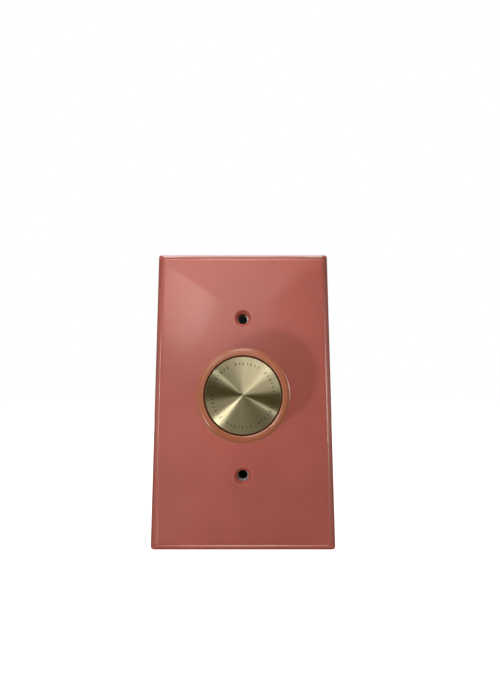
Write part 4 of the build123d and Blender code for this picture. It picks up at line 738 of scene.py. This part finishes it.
def add_slotted_head(builder, z):
    """A domed pan head with a real slot, made as two half heads and the floor between them."""
    floor_depth = HEAD_T - SLOT_DEPTH
    first = math.asin(SLOT_W / 2 / HEAD_R)
    outline = []
    for step in range(HEAD_STEPS * 2 + 1):
        angle = first + (math.pi - 2 * first) * step / (HEAD_STEPS * 2)
        outline.append((math.cos(angle), math.sin(angle)))
    for half in (-1, 1):
        rings = [half_head_ring(outline, HEAD_R, floor_depth, z, half)]
        for level in range(HEAD_STEPS + 1):
            angle = level / HEAD_STEPS * TURN / 4
            radius = HEAD_R - HEAD_ROUND * (1 - math.cos(angle))
            depth = HEAD_T - HEAD_ROUND * (1 - math.sin(angle))
            rings.append(half_head_ring(outline, radius, depth, z, half))
        add_tube(builder, rings)
    add_tube(builder, [
        ring_points(Vector((0, -STRAP_T - depth, z)), INWARD, RIGHT, HEAD_R, 4 * HEAD_STEPS)
        for depth in (0.0, floor_depth)])


def make_box_screws():
    spacing = screws_high.z - screws_low.z - 2 * HEAD_R
    builder = bmesh.new()
    for sign in (-1, 1):
        add_screw(builder, sign * spacing / 2)
    piece = finish_piece(builder, "threaded_box_screws", FINISHES["zinc_steel"], "base")
    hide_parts("box_screws")


make_box_screws()

# ---- stranded ends of the supply leads ------------------------------------------------------------


def end_of(node, side, reach):
    """Centre of a node's lowest points on one side of the object, within reach of the lowest."""
    points = [v.co for v in nodes[node].data.vertices if v.co.x * side > 0]
    lowest = min(p.z for p in points)
    near = [p for p in points if p.z < lowest + reach]
    return sum(near, Vector()) / len(near)


def add_strands(builder, start, end, first_angle):
    """Strands laid in a helix round a straight one, with narrowed ends. The helix starts at
    first_angle, in radians."""
    axis = (end - start).normalized()
    side = axis.orthogonal().normalized()
    other = axis.cross(side)
    length = (end - start).length
    for strand in range(STRANDS_ROUND + 1):
        lay_r = 0.0 if strand == STRANDS_ROUND else 2 * STRAND_R
        rings = []
        for step in range(STRAND_STEPS + 1):
            along = length * step / STRAND_STEPS
            angle = first_angle + strand / STRANDS_ROUND * TURN + along / STRAND_LAY * TURN
            centre = start + axis * along + (side * math.cos(angle) + other * math.sin(angle)) * lay_r
            wire_r = STRAND_R * (STRAND_END_SCALE if step in (0, STRAND_STEPS) else 1.0)
            rings.append(ring_points(centre, axis, side, wire_r, STRAND_POINTS))
        add_tube(builder, rings)


def make_strands():
    builder = bmesh.new()
    for side, lead in ((-1, "line_lead"), (1, "load_lead")):
        tip = end_of("lead_cores", side, CORE_TIP_REACH)
        jacket_end = end_of(lead, side, JACKET_END_REACH)
        axis = (tip - jacket_end).normalized()
        # the side's sign is also the helix's first angle, so that the two cores differ
        add_strands(builder, jacket_end - axis * STRANDS_START_IN, tip, side)
    piece = finish_piece(builder, "stranded_cores", FINISHES["bare_copper"], "base", 40)
    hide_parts("lead_cores")


make_strands()

# ---- plunger spring with closed ends --------------------------------------------------------------


def spring_rise(turns, run):
    """How far along the spring the wire is after this many turns: its end turns lie closed."""
    end_rise = SPRING_END_TURNS * SPRING_CLOSED_PITCH
    if turns < SPRING_END_TURNS:
        return end_rise * turns / SPRING_END_TURNS
    open_share = (turns - SPRING_END_TURNS) / SPRING_OPEN_TURNS
    if open_share < 1:
        return end_rise + (run - 2 * end_rise) * open_share
    return run - end_rise + end_rise * (turns - SPRING_END_TURNS - SPRING_OPEN_TURNS) / SPRING_END_TURNS


def make_plunger_spring():
    """A wound wire with closed end turns, on a mesh of its own."""
    coil_r = (spring_high.x - spring_low.x) / 2 - SPRING_WIRE_R
    run = SPRING_LENGTH - 2 * SPRING_WIRE_R
    all_turns = SPRING_OPEN_TURNS + 2 * SPRING_END_TURNS
    steps = int(all_turns * SPRING_STEPS_PER_TURN)
    builder = bmesh.new()
    rings = []
    for step in range(steps + 1):
        turns = all_turns * step / steps
        outward = Vector((math.cos(turns * TURN), 0, math.sin(turns * TURN)))
        along = Vector((-outward.z, 0, outward.x))
        y = spring_low.y + SPRING_WIRE_R + spring_rise(turns, run)
        centre = outward * coil_r + Vector((0, y, 0))
        rings.append(ring_points(centre, along, outward, SPRING_WIRE_R, SPRING_WIRE_POINTS))
    add_tube(builder, rings)
    piece = finish_piece(builder, "wound_spring", FINISHES["spring_steel"], "base", 50)
    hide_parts("plunger_spring")
    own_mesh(piece)


make_plunger_spring()

# ---- floor and world ------------------------------------------------------------------------------

FLOOR_HALF = 6.0
WORLD_STRENGTH = 0.062


def make_floor():
    """A wide pale floor under the plate's lower edge, white to the camera like the world."""
    builder = bmesh.new()
    corners = [
        builder.verts.new((x * FLOOR_HALF, y * FLOOR_HALF, cad_low.z))
        for x, y in ((-1, -1), (1, -1), (1, 1), (-1, 1))]
    builder.faces.new(corners)
    mesh = bpy.data.meshes.new("floor")
    builder.to_mesh(mesh)
    builder.free()
    floor = bpy.data.objects.new("floor", mesh)
    bpy.context.scene.collection.objects.link(floor)
    s = Shader("floor")
    seen = s.add("ShaderNodeLightPath").outputs["Is Camera Ray"]
    s.set(
        Base_Color=(*FLOOR_PALE, 1.0),
        Roughness=0.9,
        Emission_Color=(*WHITE, 1.0),
        Emission_Strength=seen,
    )
    mesh.materials.append(s.material)
    # it doesn't block the lights below it, and it doesn't show in the gloss
    floor.visible_shadow = False
    floor.visible_glossy = False


def make_world():
    """White to the camera, dim and warm to everything it lights."""
    world = bpy.data.worlds.new("studio")
    bpy.context.scene.world = world
    world.use_nodes = True
    tree = world.node_tree
    tree.nodes.clear()
    seen = tree.nodes.new("ShaderNodeLightPath").outputs["Is Camera Ray"]
    output = tree.nodes.new("ShaderNodeOutputWorld")
    both = tree.nodes.new("ShaderNodeMixShader")
    lighting = tree.nodes.new("ShaderNodeBackground")
    lighting.inputs["Color"].default_value = (*WORLD_WARM, 1.0)
    lighting.inputs["Strength"].default_value = WORLD_STRENGTH
    backdrop = tree.nodes.new("ShaderNodeBackground")
    backdrop.inputs["Color"].default_value = (*WHITE, 1.0)
    tree.links.new(seen, both.inputs["Fac"])
    tree.links.new(lighting.outputs[0], both.inputs[1])
    tree.links.new(backdrop.outputs[0], both.inputs[2])
    tree.links.new(both.outputs[0], output.inputs["Surface"])


make_floor()
make_world()

# ---- lights ---------------------------------------------------------------------------------------
# Directions are in degrees: round the control's axis, anticlockwise from the right, and off that
# axis, where 0 is straight in front of the plate. Distances and sizes are in metres.

# round, off, distance, size, power
ROOM_LIGHTS = {
    "key_lower_left": (215, 39, 0.70, 0.08, 0.89),
    "soft_right": (10, 45, 0.80, 0.50, 0.02),
    "wash_from_above": (92, 55, 0.26, 0.12, 0.29),
    "wash_corner": (128, 52, 0.22, 0.08, 0.06),
    "sheen_top": (100, 16, 0.70, 0.26, 0.34),
    "sheen_corner": (135, 17, 0.70, 0.14, 0.35),
}
# the knob casts no shadow from these
SHADOWLESS = ("wash_from_above", "wash_corner", "sheen_top", "sheen_corner")
# seen only as a reflection in the gloss
SHEEN_ONLY = ("sheen_top", "sheen_corner")

# each makes one fan on the disc, in its own direction round: round, size, power
FAN_OFF_DEG = 45
FAN_DISTANCE = 0.80
FAN_LIGHTS = {
    "fan_broad": (62, 0.60, 1.85),
    "fan_ray": (43, 0.05, 0.09),
    "fan_top": (98, 0.30, 0.60),
    "fan_upper": (122, 0.26, 0.32),
    "fan_upper_left": (141, 0.08, 0.32),
    "fan_left": (200, 0.24, 0.16),
    "fan_lower_left": (225, 0.16, 1.12),
    "fan_below": (290, 0.70, 0.07),
    "fan_spark": (331, 0.03, 0.24),
    "fan_right": (21, 0.34, 0.56),
}

# from a little behind the plate's face, so that they reach its bevels only: round, power
EDGE_OFF_DEG = 100
EDGE_DISTANCE = 0.80
EDGE_SIZE = 0.20
EDGE_LIGHTS = {
    "edge_right": (0, 1.6),
    "edge_left": (180, 1.2),
    "edge_below": (270, 1.4),
}

# behind the plate, for the mechanism: round, off, distance, size, power
BACK_LIGHTS = {
    "back_fill": (100, 150, 1.2, 0.9, 4.0),
    "back_side": (10, 125, 1.2, 0.5, 3.0),
}
# kept off the plate's edges
OFF_THE_PLATE = ("back_side",)


def add_light(name, round_deg, off_deg, distance, size, power, colour=LAMP_WARM):
    """A round soft light that faces the origin."""
    light = bpy.data.lights.new(name, "AREA")
    light.shape = "DISK"
    light.size = size
    light.energy = power
    light.color = colour
    lamp = bpy.data.objects.new(name, light)
    bpy.context.scene.collection.objects.link(lamp)
    clock, off = math.radians(round_deg), math.radians(off_deg)
    sideways = Vector((math.cos(clock), 0, math.sin(clock))) * math.sin(off)
    lamp.location = (sideways - INWARD * math.cos(off)) * distance
    lamp.rotation_mode = "QUATERNION"
    lamp.rotation_quaternion = (-lamp.location).to_track_quat("-Z", "Y")
    return lamp


def collected(name, objects):
    """A collection, for light linking."""
    group = bpy.data.collections.new(name)
    for thing in objects:
        group.objects.link(thing)
    return group


everything = [thing for thing in bpy.data.objects if thing.type == "MESH"]
disc_pieces = [bpy.data.objects[name] for name in ("spun_disc", "disc_marks")]
all_but_disc = collected("lit_by_room", [thing for thing in everything if thing not in disc_pieces])
disc_alone = collected("lit_by_fans", disc_pieces)
plate_alone = collected("lit_by_edges", [nodes["wall_plate"]])
all_but_knob = collected("not_knob", [thing for thing in everything if body_of(thing) != ["spindle"]])
all_but_plate = collected("behind_plate", [thing for thing in everything if thing != nodes["wall_plate"]])

for light_name, (round_deg, off_deg, distance, size, power) in ROOM_LIGHTS.items():
    lamp = add_light(light_name, round_deg, off_deg, distance, size, power)
    lamp.light_linking.receiver_collection = all_but_disc
    lamp.visible_diffuse = light_name not in SHEEN_ONLY
    if light_name in SHADOWLESS:
        lamp.light_linking.blocker_collection = all_but_knob
for light_name, (round_deg, size, power) in FAN_LIGHTS.items():
    lamp = add_light(light_name, round_deg, FAN_OFF_DEG, FAN_DISTANCE, size, power)
    lamp.light_linking.receiver_collection = disc_alone
for light_name, (round_deg, power) in EDGE_LIGHTS.items():
    lamp = add_light(light_name, round_deg, EDGE_OFF_DEG, EDGE_DISTANCE, EDGE_SIZE, power)
    lamp.light_linking.receiver_collection = plate_alone
for light_name, (round_deg, off_deg, distance, size, power) in BACK_LIGHTS.items():
    lamp = add_light(light_name, round_deg, off_deg, distance, size, power, LAMP_NEUTRAL)
    if light_name in OFF_THE_PLATE:
        lamp.light_linking.receiver_collection = all_but_plate

# ---- camera ---------------------------------------------------------------------------------------

CAMERA_DISTANCE = 0.240
CAMERA_PITCH_DEG = 11.5
CAMERA_SENSOR_MM = 36.0
CAMERA_LENS_MM = 31.49
SHIFT_X = 0.0104
SHIFT_Y = -0.0908
CLIP_NEAR = 0.01
CLIP_FAR = 50.0

camera = bpy.data.objects.new("camera", bpy.data.cameras.new("camera"))
bpy.context.scene.collection.objects.link(camera)
bpy.context.scene.camera = camera
camera.location = -INWARD * CAMERA_DISTANCE
camera.rotation_euler = (math.radians(90 + CAMERA_PITCH_DEG), 0.0, 0.0)
camera.data.sensor_width = CAMERA_SENSOR_MM
camera.data.lens = CAMERA_LENS_MM
camera.data.shift_x = SHIFT_X
camera.data.shift_y = SHIFT_Y
camera.data.clip_start = CLIP_NEAR
camera.data.clip_end = CLIP_FAR

bpy.context.scene.view_settings.view_transform = "Standard"
